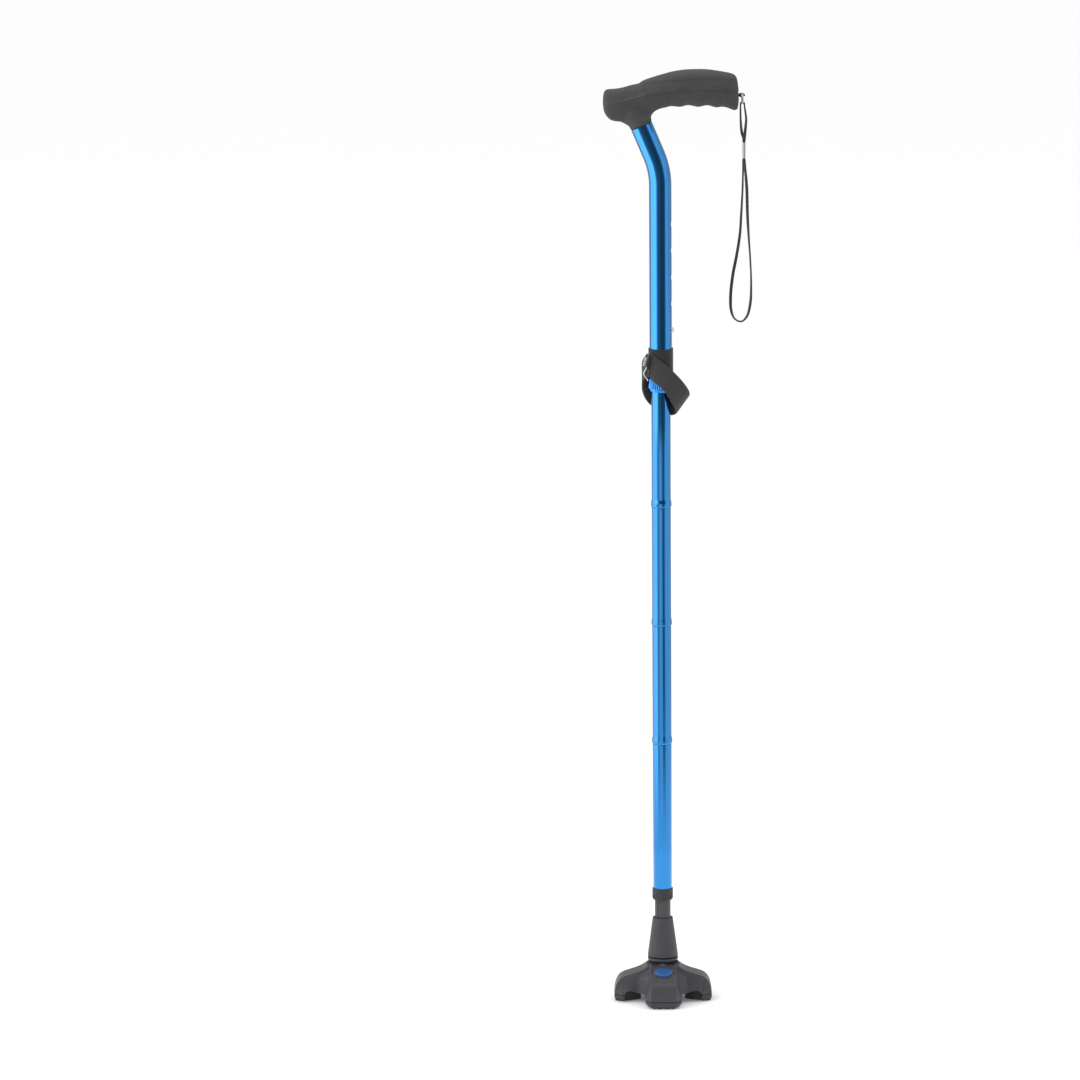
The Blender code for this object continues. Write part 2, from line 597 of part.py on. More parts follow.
def make_wrist_strap():
    """A cord in a figure of eight: a small loop on the ring, an aluminium crimp, and the loop for the hand."""
    ring_bottom = EYE_Z - 2 * RING_R
    wrap = RING_WIRE + CORD_R + GAP
    apart = CORD_R + GAP / 2
    x = EYE_X
    small = [(CRIMP_X, apart, CRIMP_TOP + GAP), (CRIMP_X - 0.0002, apart, CRIMP_TOP + 0.004)]
    small += [(x - 0.0006, 0.0010, 0.8765), (x - 0.0016, 0.0004, 0.8860), (x - 0.0019, 0, 0.8950)]
    small += [(x - wrap, 0, ring_bottom - 0.0015), (x - wrap * 0.71, 0, ring_bottom + wrap * 0.71)]
    small += [(x, 0, ring_bottom + wrap), (x + wrap * 0.71, 0, ring_bottom + wrap * 0.71)]
    small += [(x + wrap, 0, ring_bottom - 0.0015), (x + 0.0030, 0, 0.8960), (x + 0.0036, -0.0003, 0.8900)]
    small += [(x + 0.0026, -0.0010, 0.8785), (CRIMP_X + 0.0004, -apart, CRIMP_TOP + 0.004)]
    small += [(CRIMP_X, -apart, CRIMP_TOP + GAP)]
    wire("wrist_cord_ring_loop", through(small, 4), CORD_R, BRAID)

    crimp = [(0.0017, -0.0027), (0.0017, 0.0027), (-0.0017, 0.0027), (-0.0017, -0.0027)]
    rings = [[Vector((CRIMP_X + dx, dy, z)) for dx, dy in crimp] for z in (CRIMP_BOTTOM, CRIMP_TOP)]
    loft("cord_crimp", rings, ALUMINIUM)

    big = [(CRIMP_X, apart, CRIMP_BOTTOM - GAP), (0.0820, apart, 0.8440)]
    big += [(0.0812, apart, 0.8200), (0.0798, apart, 0.7940)]
    big += [(0.0786, apart, 0.7760), (0.0753, 0.0012, 0.7546), (0.0713, 0.0008, 0.7339)]
    big += [(0.0692, 0.0004, 0.7132), (0.0698, 0, 0.6993), (0.0732, 0, 0.6912), (0.0795, 0, 0.6883)]
    big += [(0.0850, 0, 0.6930), (0.0886, 0, 0.7060), (0.0895, -0.0004, 0.7252)]
    big += [(0.0888, -0.0008, 0.7477), (0.0872, -0.0012, 0.7718), (0.0860, -apart, 0.7942)]
    big += [(0.0852, -apart, 0.8235), (0.0834, -apart, 0.8440), (CRIMP_X, -apart, CRIMP_BOTTOM - GAP)]
    wire("wrist_cord_hand_loop", through(big, 3), CORD_R, BRAID)


def band(name, centres, widths, finish, width=WEB_WIDTH, thick=WEB_THICK):
    """A closed band of webbing: its centre line, and the direction of its width at each point."""
    rings = []
    count = len(centres)
    for i in range(count):
        way = (centres[(i + 1) % count] - centres[i - 1]).normalized()
        across = widths[i].normalized()
        normal = way.cross(across).normalized()
        a, n = across * width / 2, normal * thick / 2
        rings.append([centres[i] - a - n, centres[i] + a - n, centres[i] + a + n, centres[i] - a + n])
    return loft(name, rings, finish, closed=True)


def make_storage_strap():
    """The webbing that holds the folded sections: a sleeve on the tube and a loop with a wire buckle."""
    sleeve("strap_sleeve", SLEEVE_R, UPPER_R + GAP, SLEEVE_BOTTOM, SLEEVE_TOP, WEBBING)
    centres = [(-0.0165, 0, 0.6410), (-0.0095, -0.0138, 0.6440)]
    centres += [(0.0010, -0.0158, 0.6370), (0.0120, -0.0138, 0.6230)]
    centres += [(0.0212, 0, 0.6045), (0.0120, 0.0138, 0.6030)]
    centres += [(-0.0010, 0.0158, 0.6100), (-0.0115, 0.0130, 0.6230)]
    # from upright at the buckle, the band leans over where it crosses the front
    widths = [(lean_over, 0, 1) for lean_over in (0, 0.30, 0.75, 0.92, 0.96, 0.60, 0.20, 0)]
    band("strap_loop", through(centres, 4, closed=True), through(widths, 4, closed=True), WEBBING)
    tab = [(-0.0146, 0.6450), (-0.0127, 0.6450), (-0.0127, 0.6540), (-0.0146, 0.6540)]
    loft("strap_tab", [[Vector((px, y, pz)) for px, pz in tab] for y in (-0.0030, 0.0030)], WEBBING)
    corner, half_y, low, high = 0.0022, 0.0135, 0.6305, 0.6535
    frame = []
    for cy, cz, start in ((half_y, high, 0), (-half_y, high, 90), (-half_y, low, 180), (half_y, low, 270)):
        for step in range(4):
            turn = math.radians(start + step * 30)
            inset_y, inset_z = math.copysign(corner, cy), corner if cz == high else -corner
            y, z = cy - inset_y + corner * math.cos(turn), cz - inset_z + corner * math.sin(turn)
            frame.append(Vector((BUCKLE_X, y, z)))
    wire("strap_buckle", frame, BUCKLE_WIRE, STEEL, cyclic=True)


make_foot()
make_socket()
make_collars()
make_sections()
make_shock_cord()
make_button()
make_upper_tube()
make_handle()
make_eye_and_ring()
make_wrist_strap()
make_storage_strap()
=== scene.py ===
"""The looks of the quad walking cane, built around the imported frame.

Metres, +Z up, the long end of the handle to +X.
"""

import math

import bmesh
import bpy
from mathutils import Matrix, Vector


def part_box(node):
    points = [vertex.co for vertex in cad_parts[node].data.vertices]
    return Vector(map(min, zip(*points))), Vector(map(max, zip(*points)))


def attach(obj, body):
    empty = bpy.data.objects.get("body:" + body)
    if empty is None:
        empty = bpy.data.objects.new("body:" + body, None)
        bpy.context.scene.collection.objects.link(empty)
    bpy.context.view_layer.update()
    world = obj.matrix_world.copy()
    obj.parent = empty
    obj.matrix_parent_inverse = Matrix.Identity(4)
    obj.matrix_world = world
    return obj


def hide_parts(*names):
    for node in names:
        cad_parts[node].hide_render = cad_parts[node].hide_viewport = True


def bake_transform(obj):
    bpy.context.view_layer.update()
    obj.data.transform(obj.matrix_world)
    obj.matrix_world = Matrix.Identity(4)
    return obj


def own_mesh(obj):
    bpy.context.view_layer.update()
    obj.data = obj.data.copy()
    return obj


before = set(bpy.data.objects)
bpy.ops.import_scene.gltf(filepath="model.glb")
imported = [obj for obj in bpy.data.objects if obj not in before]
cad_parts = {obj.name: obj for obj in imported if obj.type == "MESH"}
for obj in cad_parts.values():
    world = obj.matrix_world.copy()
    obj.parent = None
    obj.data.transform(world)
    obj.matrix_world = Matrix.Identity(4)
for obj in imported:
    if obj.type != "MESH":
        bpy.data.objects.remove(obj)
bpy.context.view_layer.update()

MM = 0.001
ROUND = 96  # sides of a large round surface
SAME_POINT = 1e-7


def span(node):
    """The lowest and highest Z of a CAD node."""
    low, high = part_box(node)
    return low.z, high.z


def span_mm(node):
    """The same, in millimetres."""
    return [z / MM for z in span(node)]


def middle(node):
    """The centre of a CAD node's box."""
    low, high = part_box(node)
    return (low + high) / 2


def radius_of(node):
    """Half the width of a round CAD node, in millimetres."""
    low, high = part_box(node)
    return (high.x - low.x) / 2 / MM


SHAFT = middle("section_d_tube").x


def on_shaft(x, y, z):
    """A point given from the shaft's axis."""
    return Vector((SHAFT + x, y, z))


def at(x, y, z):
    """The same, in millimetres."""
    return on_shaft(x * MM, y * MM, z * MM)


def turns(count):
    """Angles evenly round a full turn."""
    return [2 * math.pi * k / count for k in range(count)]


def placed(data, name=None):
    """A new object in the scene."""
    made = bpy.data.objects.new(name or data.name, data)
    bpy.context.scene.collection.objects.link(made)
    return made


# ---------------------------------------------------------------- camera, light and stage


def make_camera():
    """The view: almost level, from far off, with the cane right of the middle."""
    pitch, roll, distance = math.radians(11), math.radians(-0.37), 8.0
    aim_z, right_of_middle, width_at_aim = 0.4695, 0.1207, 1.0735
    camera = placed(bpy.data.cameras.new("camera"))
    camera.data.sensor_width = 36
    camera.data.lens = 36 * distance / width_at_aim
    camera.data.clip_end = 50
    aim = Vector((SHAFT - right_of_middle, 0, aim_z))
    back = Vector((0, -math.cos(pitch), math.sin(pitch)))
    turn = Matrix.Rotation(math.pi / 2 - pitch, 4, "X") @ Matrix.Rotation(roll, 4, "Z")
    camera.matrix_world = Matrix.Translation(aim + back * distance) @ turn
    bpy.context.scene.camera = camera


def split_place(tree, space):
    """A node that splits where a point is into X, Y and Z."""
    place = tree.nodes.new("ShaderNodeTexCoord")
    split = tree.nodes.new("ShaderNodeSeparateXYZ")
    tree.links.new(place.outputs[space], split.inputs[0])
    return split


def mixed(tree, factor, first, second):
    """Goes from the first colour to the second with the factor."""
    mix = tree.nodes.new("ShaderNodeMix")
    mix.data_type = "RGBA"
    tree.links.new(factor, mix.inputs["Factor"])
    tree.links.new(first, mix.inputs["A"])
    tree.links.new(second, mix.inputs["B"])
    return mix.outputs["Result"]


def grey(tree, level):
    """An even grey of the given light level."""
    made = tree.nodes.new("ShaderNodeRGB")
    made.outputs[0].default_value = (level / BRIGHTEST,) * 3 + (1,)
    return made.outputs[0]


def share_of_turn(tree, space):
    """A node output from 0 to 1 round the vertical: 0 and 1 at -Y, 0.25 at -X, 0.5 at +Y, 0.75 at +X."""
    split = split_place(tree, space)
    around = tree.nodes.new("ShaderNodeMath")
    around.operation = "ARCTAN2"
    tree.links.new(split.outputs["X"], around.inputs[0])
    tree.links.new(split.outputs["Y"], around.inputs[1])
    share = tree.nodes.new("ShaderNodeMapRange")
    share.inputs["From Min"].default_value = -math.pi
    share.inputs["From Max"].default_value = math.pi
    tree.links.new(around.outputs[0], share.inputs["Value"])
    return share.outputs[0]


# light levels round the cane as its bright metal mirrors them, from the front (0 degrees) by the left (90),
# the back (180) and the right (270): one set for the handle's tube and one for the folding sections
UPPER_STRIPS = [
    (0, 0.16), (20, 0.23), (32, 0.36), (38, 0.8), (45, 2.0), (64, 2.5), (78, 2.1), (90, 1.8), (106, 2.3),
    (118, 0.55), (180, 0.45), (244, 0.5), (256, 0.9), (300, 1.04), (308, 0.95), (314, 0.24), (326, 0.13),
    (345, 0.12), (360, 0.16),
]
LOWER_STRIPS = [
    (0, 1.0), (26, 0.92), (36, 0.38), (42, 0.40), (50, 1.1), (60, 2.0), (82, 1.95), (98, 1.45), (112, 2.0),
    (124, 0.6), (180, 0.5), (240, 0.6), (252, 0.9), (312, 1.0), (322, 0.55), (330, 0.20), (342, 0.18),
    (352, 0.6), (360, 1.0),
]
EVEN_LEVEL = 1.1
BACKDROP_LEVEL = 1.02
BRIGHTEST = 2.6
# the studio's own light: weaker from the front, stronger from the sides
WORLD_LEVELS = [
    (0, 0.50), (40, 0.62), (75, 1.30), (100, 1.35), (140, 1.0), (220, 0.95), (260, 1.15), (285, 1.10),
    (320, 0.60), (360, 0.50),
]


def strip_ramp(tree, around, strips):
    """A grey level for each direction, from (degrees, level) pairs."""
    ramp_node = tree.nodes.new("ShaderNodeValToRGB")
    tree.links.new(around, ramp_node.inputs[0])
    ramp = ramp_node.color_ramp.elements
    for degrees, _ in strips[1:-1]:
        ramp.new(degrees / 360)
    for stop, (_, level) in zip(ramp, strips):
        share = level / BRIGHTEST
        stop.color = (share, share, share, 1)
    return ramp_node.outputs[0]


def blend_by_height(tree, low, high, first, second):
    """Goes smoothly from the first colour to the second between two heights of the object."""
    split = split_place(tree, "Object")
    share = tree.nodes.new("ShaderNodeMapRange")
    share.interpolation_type = "SMOOTHSTEP"
    share.inputs["From Min"].default_value = low
    share.inputs["From Max"].default_value = high
    tree.links.new(split.outputs["Z"], share.inputs["Value"])
    return mixed(tree, share.outputs[0], first, second)


def make_reflector():
    """Strips of light and shade standing round the cane, which only its shiny surfaces see."""
    radius, foot, top = 0.55, -0.02, 1.6
    bm = bmesh.new()
    size = {"radius1": radius, "radius2": radius, "depth": top - foot}
    bmesh.ops.create_cone(bm, segments=ROUND, cap_ends=False, **size)
    wall = placed(mesh_of(bm, "reflector"))
    centre_height = (top + foot) / 2
    wall.location = (SHAFT, 0, centre_height)
    for ray in ("camera", "diffuse", "transmission", "volume_scatter", "shadow"):
        setattr(wall, "visible_" + ray, False)
    paint = bpy.data.materials.new("reflector_strips")
    paint.use_nodes = True
    tree = paint.node_tree
    tree.nodes.clear()
    around = share_of_turn(tree, "Object")
    even = grey(tree, EVEN_LEVEL)
    lower, upper = strip_ramp(tree, around, LOWER_STRIPS), strip_ramp(tree, around, UPPER_STRIPS)
    low = blend_by_height(tree, -0.02 - centre_height, 0.26 - centre_height, even, lower)
    colour = blend_by_height(tree, 0.49 - centre_height, 0.53 - centre_height, low, upper)
    glow = tree.nodes.new("ShaderNodeEmission")
    glow.inputs["Strength"].default_value = BRIGHTEST
    tree.links.new(colour, glow.inputs["Color"])
    out = tree.nodes.new("ShaderNodeOutputMaterial")
    tree.links.new(glow.outputs[0], out.inputs["Surface"])
    wall.data.materials.append(paint)


def soft_light(name, place, size, energy):
    """A square light that faces the middle of the cane."""
    light = placed(bpy.data.lights.new(name, "AREA"))
    light.data.shape = "RECTANGLE"
    light.data.size = light.data.size_y = size
    light.data.energy = energy
    light.location = place
    light.rotation_euler = (Vector((0, 0, 0.45)) - Vector(place)).to_track_quat("-Z", "Y").to_euler()


def make_stage():
    """A white floor and plain soft light from all round, a little stronger from above and the left."""
    scene = bpy.context.scene
    scene.view_settings.view_transform = "Standard"
    world = bpy.data.worlds.new("studio")
    scene.world = world
    world.use_nodes = True
    tree = world.node_tree
    levels = strip_ramp(tree, share_of_turn(tree, "Generated"), WORLD_LEVELS)
    seen = tree.nodes.new("ShaderNodeLightPath")
    colour = mixed(tree, seen.outputs["Is Camera Ray"], levels, grey(tree, BACKDROP_LEVEL))
    tree.links.new(colour, tree.nodes["Background"].inputs["Color"])
    tree.nodes["Background"].inputs["Strength"].default_value = BRIGHTEST
    soft_light("key", (-1.8, -1.6, 2.4), 1.6, 24)
    soft_light("top", (0.3, 0.4, 3.0), 2.0, 14)
    make_reflector()

    bpy.ops.mesh.primitive_plane_add(size=60, location=(0, 0, 0))
    floor = bpy.context.object
    floor.name = "floor"
    paint = bpy.data.materials.new("floor_white")
    paint.use_nodes = True
    sockets = paint.node_tree.nodes["Principled BSDF"].inputs
    sockets["Base Color"].default_value = (0.96, 0.96, 0.96, 1)
    sockets["Roughness"].default_value = 1.0
    sockets["Specular IOR Level"].default_value = 0.0
    sockets["Emission Color"].default_value = (1, 1, 1, 1)
    sockets["Emission Strength"].default_value = 0.08
    floor.data.materials.append(paint)


# ---------------------------------------------------------------- materials


class Paint:
    """A Principled material with a few helpers for its nodes. Patterns are laid out in object metres."""

    def __init__(self, name, colour, roughness, metallic=0.0, **sockets):
        self.material = bpy.data.materials.new(name)
        self.material.use_nodes = True
        self.tree = self.material.node_tree
        self.shader = self.tree.nodes["Principled BSDF"]
        self.colour = colour
        self.shader.inputs["Base Color"].default_value = (*colour, 1)
        self.shader.inputs["Roughness"].default_value = roughness
        self.shader.inputs["Metallic"].default_value = metallic
        for socket, value in sockets.items():
            self.shader.inputs[socket.replace("_", " ")].default_value = value
        self.normal = None

    def node(self, kind, **inputs):
        made = self.tree.nodes.new(kind)
        for name, value in inputs.items():
            made.inputs[name.replace("_", " ")].default_value = value
        return made

    def link(self, source, target):
        self.tree.links.new(source, target)

    def place(self, scale=(1, 1, 1), space="Object"):
        """Where a point is, in the given space, drawn out or squeezed by the scale."""
        where = self.node("ShaderNodeTexCoord")
        mapping = self.node("ShaderNodeMapping")
        mapping.inputs["Scale"].default_value = scale
        self.link(where.outputs[space], mapping.inputs["Vector"])
        return mapping.outputs[0]

    def noise(self, scale, stretch=(1, 1, 1), detail=3.0):
        """Soft noise with the given number of features to the metre."""
        made = self.node("ShaderNodeTexNoise", Scale=scale, Detail=detail, Roughness=0.55)
        self.link(self.place(stretch), made.inputs["Vector"])
        return made.outputs[0]

    def bump(self, height, distance, strength=1.0):
        """Adds a relief; several are stacked."""
        made = self.node("ShaderNodeBump", Strength=strength, Distance=distance)
        self.link(height, made.inputs["Height"])
        if self.normal is not None:
            self.link(self.normal, made.inputs["Normal"])
        self.normal = made.outputs[0]
        self.link(self.normal, self.shader.inputs["Normal"])
        return self

    def vary_colour(self, driver, dark, light, low=0.3, high=0.7):
        """The base colour runs from dark to light times itself as the driver goes from low to high."""
        ramp = self.node("ShaderNodeValToRGB")
        ramp.color_ramp.elements[0].position, ramp.color_ramp.elements[1].position = low, high
        ramp.color_ramp.elements[0].color = (*[c * dark for c in self.colour], 1)
        ramp.color_ramp.elements[1].color = (*[c * light for c in self.colour], 1)
        self.link(driver, ramp.inputs[0])
        self.link(ramp.outputs[0], self.shader.inputs["Base Color"])
        return self

    def vary_roughness(self, driver, low, high):
        """The roughness goes from low to high with the driver."""
        span_node = self.node("ShaderNodeMapRange")
        span_node.inputs["To Min"].default_value = low
        span_node.inputs["To Max"].default_value = high
        self.link(driver, span_node.inputs["Value"])
        self.link(span_node.outputs[0], self.shader.inputs["Roughness"])
        return self


def anodised_blue():
    """Drawn aluminium under a clear blue anodic film: fine lengthwise draw lines, slightly uneven gloss."""
    paint = Paint("anodised_blue", (0.005, 0.232, 0.63), 0.13, 1.0, Coat_Weight=1.0, Coat_Roughness=0.08)
    lines = paint.noise(1400, (1, 1, 0.012), detail=2)
    paint.vary_colour(lines, 0.93, 1.06)
    paint.vary_roughness(paint.noise(60, (1, 1, 0.25)), 0.10, 0.16)
    return paint.bump(lines, 0.000012).material


def soft_rubber():
    """Matt rubber with a fine moulded grain."""
    paint = Paint("grip_rubber", (0.044, 0.044, 0.047), 0.62, Specular_IOR_Level=0.38)
    paint.vary_colour(paint.noise(90, detail=4), 0.90, 1.12)
    paint.vary_roughness(paint.noise(40), 0.55, 0.70)
    grain = paint.noise(5200, detail=2)
    return paint.bump(grain, 0.00006, 0.6).material


def moulded(name, colour, roughness, grain=0.00005):
    """Moulded plastic or rubber: uneven colour and gloss, and a grain of the given height."""
    paint = Paint(name, colour, roughness, Specular_IOR_Level=0.42)
    paint.vary_colour(paint.noise(70, detail=4), 0.92, 1.10)
    paint.vary_roughness(paint.noise(55), roughness - 0.05, roughness + 0.06)
    return paint.bump(paint.noise(3600, detail=2), grain, 0.6).material


def bright_metal(name, colour, roughness, stretch=(1, 1, 1)):
    """Bare metal with fine handling marks, drawn out lengthwise by a small stretch."""
    paint = Paint(name, colour, roughness, 1.0)
    marks = paint.noise(900, stretch, detail=3)
    paint.vary_colour(marks, 0.90, 1.05)
    paint.vary_roughness(paint.noise(300), roughness - 0.04, roughness + 0.08)
    return paint.bump(marks, 0.00001).material


def woven(name, colour, rib):
    """Elastic webbing in UV metres, U along it and V across: ribs along the band, crossed by fine picks."""
    paint = Paint(name, colour, 0.88, Specular_IOR_Level=0.25, Sheen_Weight=0.25, Sheen_Roughness=0.5)
    ribs = paint.node("ShaderNodeTexWave", Scale=math.pi / 10 / rib)
    ribs.bands_direction = "Y"
    paint.link(paint.place(space="UV"), ribs.inputs["Vector"])
    picks = paint.node("ShaderNodeTexWave", Scale=math.pi / 10 / (rib * 0.62), Distortion=0.6)
    picks.inputs["Detail Scale"].default_value = 900
    picks.bands_direction = "X"
    paint.link(paint.place(space="UV"), picks.inputs["Vector"])
    cross = paint.node("ShaderNodeMath")
    cross.operation = "MULTIPLY"
    paint.link(ribs.outputs["Fac"], cross.inputs[0])
    paint.link(picks.outputs["Fac"], cross.inputs[1])
    paint.vary_colour(cross.outputs[0], 0.62, 1.35, 0.0, 0.9)
    paint.bump(ribs.outputs["Fac"], 0.00022, 0.9)
    paint.bump(picks.outputs["Fac"], 0.00010, 0.8)
    return paint.bump(paint.noise(2600, detail=3), 0.00006, 0.5).material


def plain(name, colour, roughness, **sockets):
    """A smooth finish with a slightly uneven colour."""
    paint = Paint(name, colour, roughness, **sockets)
    paint.vary_colour(paint.noise(120, detail=3), 0.93, 1.07)
    return paint.material


BLUE = anodised_blue()
GRIP_RUBBER = soft_rubber()
FOOT_PLASTIC = moulded("foot_plastic", (0.044, 0.042, 0.050), 0.44)
PAD_RUBBER = moulded("pad_rubber", (0.042, 0.042, 0.046), 0.62, 0.00008)
BLACK_PLASTIC = moulded("black_plastic", (0.026, 0.026, 0.029), 0.42)
STEM_PLASTIC = moulded("stem_finish", (0.050, 0.050, 0.053), 0.36, 0.00002)
STEEL = bright_metal("bright_steel", (0.72, 0.72, 0.74), 0.20)
CRIMP_METAL = bright_metal("crimp_aluminium", (0.66, 0.67, 0.69), 0.30)
FERRULE_METAL = bright_metal("ferrule_aluminium", (0.62, 0.63, 0.65), 0.30, (1, 1, 0.02))
WEBBING = woven("storage_webbing", (0.044, 0.044, 0.046), 0.0011)
# the sleeve's webbing: the same black webbing coloured darker, as painted shade for the shadow it lies in
SLEEVE_WEBBING_SHADED = woven("sleeve_webbing_painted_shade", (0.024, 0.024, 0.027), 0.0014)
BRAID = woven("braided_cord", (0.030, 0.030, 0.032), 0.0008)
BADGE_FACE = plain("badge_face", (0.016, 0.092, 0.30), 0.22, Coat_Weight=0.8, Coat_Roughness=0.05)
BADGE_RIM = plain("badge_rim", (0.55, 0.60, 0.68), 0.35)

# ---------------------------------------------------------------- mesh helpers


def piece(name, shape, material, body, slot, *nodes, sharp=30):
    """Makes a shown piece of a mesh or bmesh: shading, material, body and the CAD nodes it replaces. Its slot
    is not used.
    """
    mesh = shape if isinstance(shape, bpy.types.Mesh) else mesh_of(shape, name)
    made = placed(mesh, name)
    mesh.materials.clear()
    for one in material if isinstance(material, (list, tuple)) else [material]:
        mesh.materials.append(one)
    mesh.shade_smooth()
    if sharp:
        mesh.set_sharp_from_angle(angle=math.radians(sharp))
    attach(made, body)
    if nodes:
        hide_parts(*nodes)
    return made


def mesh_of(bm, name):
    """A mesh made from a bmesh, which is used up, with its faces turned outwards."""
    bmesh.ops.recalc_face_normals(bm, faces=bm.faces)
    mesh = bpy.data.meshes.new(name)
    bm.to_mesh(mesh)
    bm.free()
    return mesh


def rounded(corners, closed=True):
    """A profile whose corners (radius, height, round, in millimetres) are cut back and eased."""
    corners = [[value * MM for value in corner] for corner in corners]
    steps = 4
    points = []
    count = len(corners)
    for i, (r, z, ease) in enumerate(corners):
        here = Vector((r, z))
        if not ease or (not closed and i in (0, count - 1)):
            points.append(here)
            continue
        before = Vector(corners[i - 1][:2])
        after = Vector(corners[(i + 1) % count][:2])
        start = here + (before - here).normalized() * min(ease, (before - here).length * 0.49)
        end = here + (after - here).normalized() * min(ease, (after - here).length * 0.49)
        for step in range(steps + 1):
            t = step / steps
            points.append(start * (1 - t) ** 2 + here * 2 * t * (1 - t) + end * t**2)
    return points


def lathe(bm, points, centre, sides=ROUND, closed=True, ribs=0, depth=0.0, ribbed=lambda z: 1.0):
    """A profile turned about a vertical line. Ribs push the outer side in and out as it goes round."""
    on_axis, rib_reach = 1e-7, 1.2 * MM
    outermost = max(p.x for p in points)
    rows = []
    for p in points:
        if p.x < on_axis:
            rows.append([bm.verts.new((centre.x, centre.y, p.y))])
            continue
        row = []
        for turn in turns(sides):
            r = p.x
            if ribs and p.x > outermost - rib_reach:
                r -= depth * ribbed(p.y) * (0.5 - 0.5 * math.cos(ribs * turn)) ** 0.5
            row.append(bm.verts.new((centre.x + r * math.cos(turn), centre.y + r * math.sin(turn), p.y)))
        rows.append(row)
    pairs = list(zip(rows, rows[1:]))
    if closed:
        pairs.append((rows[-1], rows[0]))
    for a, b in pairs:
        for i in range(sides):
            j = (i + 1) % sides
            if len(a) == 1:
                bm.faces.new((a[0], b[j], b[i]))
            elif len(b) == 1:
                bm.faces.new((a[i], a[j], b[0]))
            else:
                bm.faces.new((a[i], a[j], b[j], b[i]))
    return bm


def turned(name, corners, material, body, slot, *nodes, sides=ROUND, **ribs):
    """A piece turned about the shaft's axis from the corners of its profile."""
    bm = lathe(bmesh.new(), rounded(corners), Vector((SHAFT, 0)), sides, **ribs)
    return piece(name, bm, material, body, slot, *nodes)


def skin(bm, rings, closed=False, caps=True, uv=None):
    """Faces between rings of equally many points. uv gives each ring's U and each point's V in metres."""
    rows = [[bm.verts.new(p) for p in ring] for ring in rings]
    layer = bm.loops.layers.uv.verify() if uv else None
    spans = len(rows) if closed else len(rows) - 1
    size = len(rows[0])
    for k in range(spans):
        a, b = rows[k], rows[(k + 1) % len(rows)]
        for i in range(size):
            j = (i + 1) % size
            face = bm.faces.new((a[i], a[j], b[j], b[i]))
            if uv:
                us, vs = uv
                u0, u1 = us[k], us[k + 1]
                v0, v1 = vs[i], vs[i + 1]
                for loop, value in zip(face.loops, ((u0, v0), (u0, v1), (u1, v1), (u1, v0))):
                    loop[layer].uv = value
    if caps and not closed:
        bm.faces.new(list(reversed(rows[0])))
        bm.faces.new(rows[-1])
    return rows


def through(points, per_span, closed=False):
    """Points of a smooth Catmull-Rom curve through the given points."""
    count = len(points)
    result = []

    def point(i):
        return Vector(points[i % count] if closed else points[min(max(i, 0), count - 1)])

    for i in range(count if closed else count - 1):
        a, b, c, d = point(i - 1), point(i), point(i + 1), point(i + 2)
        for step in range(per_span):
            t = step / per_span
            square, cube = (2 * a - 5 * b + 4 * c - d) * t**2, (3 * b - a - 3 * c + d) * t**3
            result.append(0.5 * (2 * b + (c - a) * t + square + cube))
    if not closed:
        result.append(point(count - 1))
    return result


def through_rows(rows, per_span):
    """Rows of numbers, eased between by the same smooth curve."""
    count = len(rows)
    result = []
    for k in range(count - 1):
        four = [rows[max(k - 1, 0)], rows[k], rows[k + 1], rows[min(k + 2, count - 1)]]
        for step in range(per_span):
            t = step / per_span
            row = []
            for p, q, r, s in zip(*four):
                square, cube = (2 * p - 5 * q + 4 * r - s) * t**2, (3 * q - p - 3 * r + s) * t**3
                row.append(0.5 * (2 * q + (r - p) * t + square + cube))
            result.append(row)
    result.append(list(rows[-1]))
    return result


def through_uneven(points, per_span):
    """A smooth curve through points that lie at uneven distances: a centripetal Catmull-Rom curve."""
    points = [2 * points[0] - points[1]] + points + [2 * points[-1] - points[-2]]
    result = []
    for i in range(1, len(points) - 2):
        four, knots = points[i - 1 : i + 3], [0.0]
        for before, after in zip(four, four[1:]):
            knots.append(knots[-1] + math.sqrt(max(1e-6, (after.xyz - before.xyz).length)))
        for step in range(per_span):
            t = knots[1] + (knots[2] - knots[1]) * step / per_span
            row = four
            for reach, first in ((1, 0), (2, 0), (1, 1)):
                eased = []
                for k in range(len(row) - 1):
                    low, high = knots[first + k], knots[first + k + reach]
                    eased.append((row[k] * (high - t) + row[k + 1] * (t - low)) / (high - low))
                row = eased
            result.append(row[0])
    return result + [points[-2]]


def neighbours(points, i, closed=False):
    """The points before and after one of a row; an open row's ends stand in for their own."""
    count = len(points)
    after = points[(i + 1) % count] if closed else points[min(i + 1, count - 1)]
    before = points[i - 1] if closed or i else points[0]
    return before, after


def ways(points, closed=False):
    """The direction of a row of points at each of them."""
    pairs = [neighbours(points, i, closed) for i in range(len(points))]
    return [(after - before).normalized() for before, after in pairs]


def curve_value(table, x):
    """A value read at x from a smooth curve through (x, value) pairs, in rising order of x."""
    x = min(max(x, table[0][0]), table[-1][0])
    last = len(table) - 2
    k = next((i for i in range(last + 1) if x <= table[i + 1][0]), last)
    (x0, v0), (x1, v1) = table[k], table[k + 1]

    def slope(i):
        low, high = table[max(i - 1, 0)], table[min(i + 1, last + 1)]
        return (high[1] - low[1]) / (high[0] - low[0])

    width = x1 - x0
    t = (x - x0) / width
    start, end = slope(k) * width, slope(k + 1) * width
    value = v0 * (2 * t**3 - 3 * t**2 + 1) + start * (t**3 - 2 * t**2 + t)
    return value + v1 * (3 * t**2 - 2 * t**3) + end * (t**3 - t**2)


def evaluated(made):
    """The mesh that an object's modifiers make; the object is removed."""
    bpy.context.view_layer.update()
    graph = bpy.context.evaluated_depsgraph_get()
    mesh = bpy.data.meshes.new_from_object(made.evaluated_get(graph), depsgraph=graph)
    bpy.data.objects.remove(made)
    return mesh


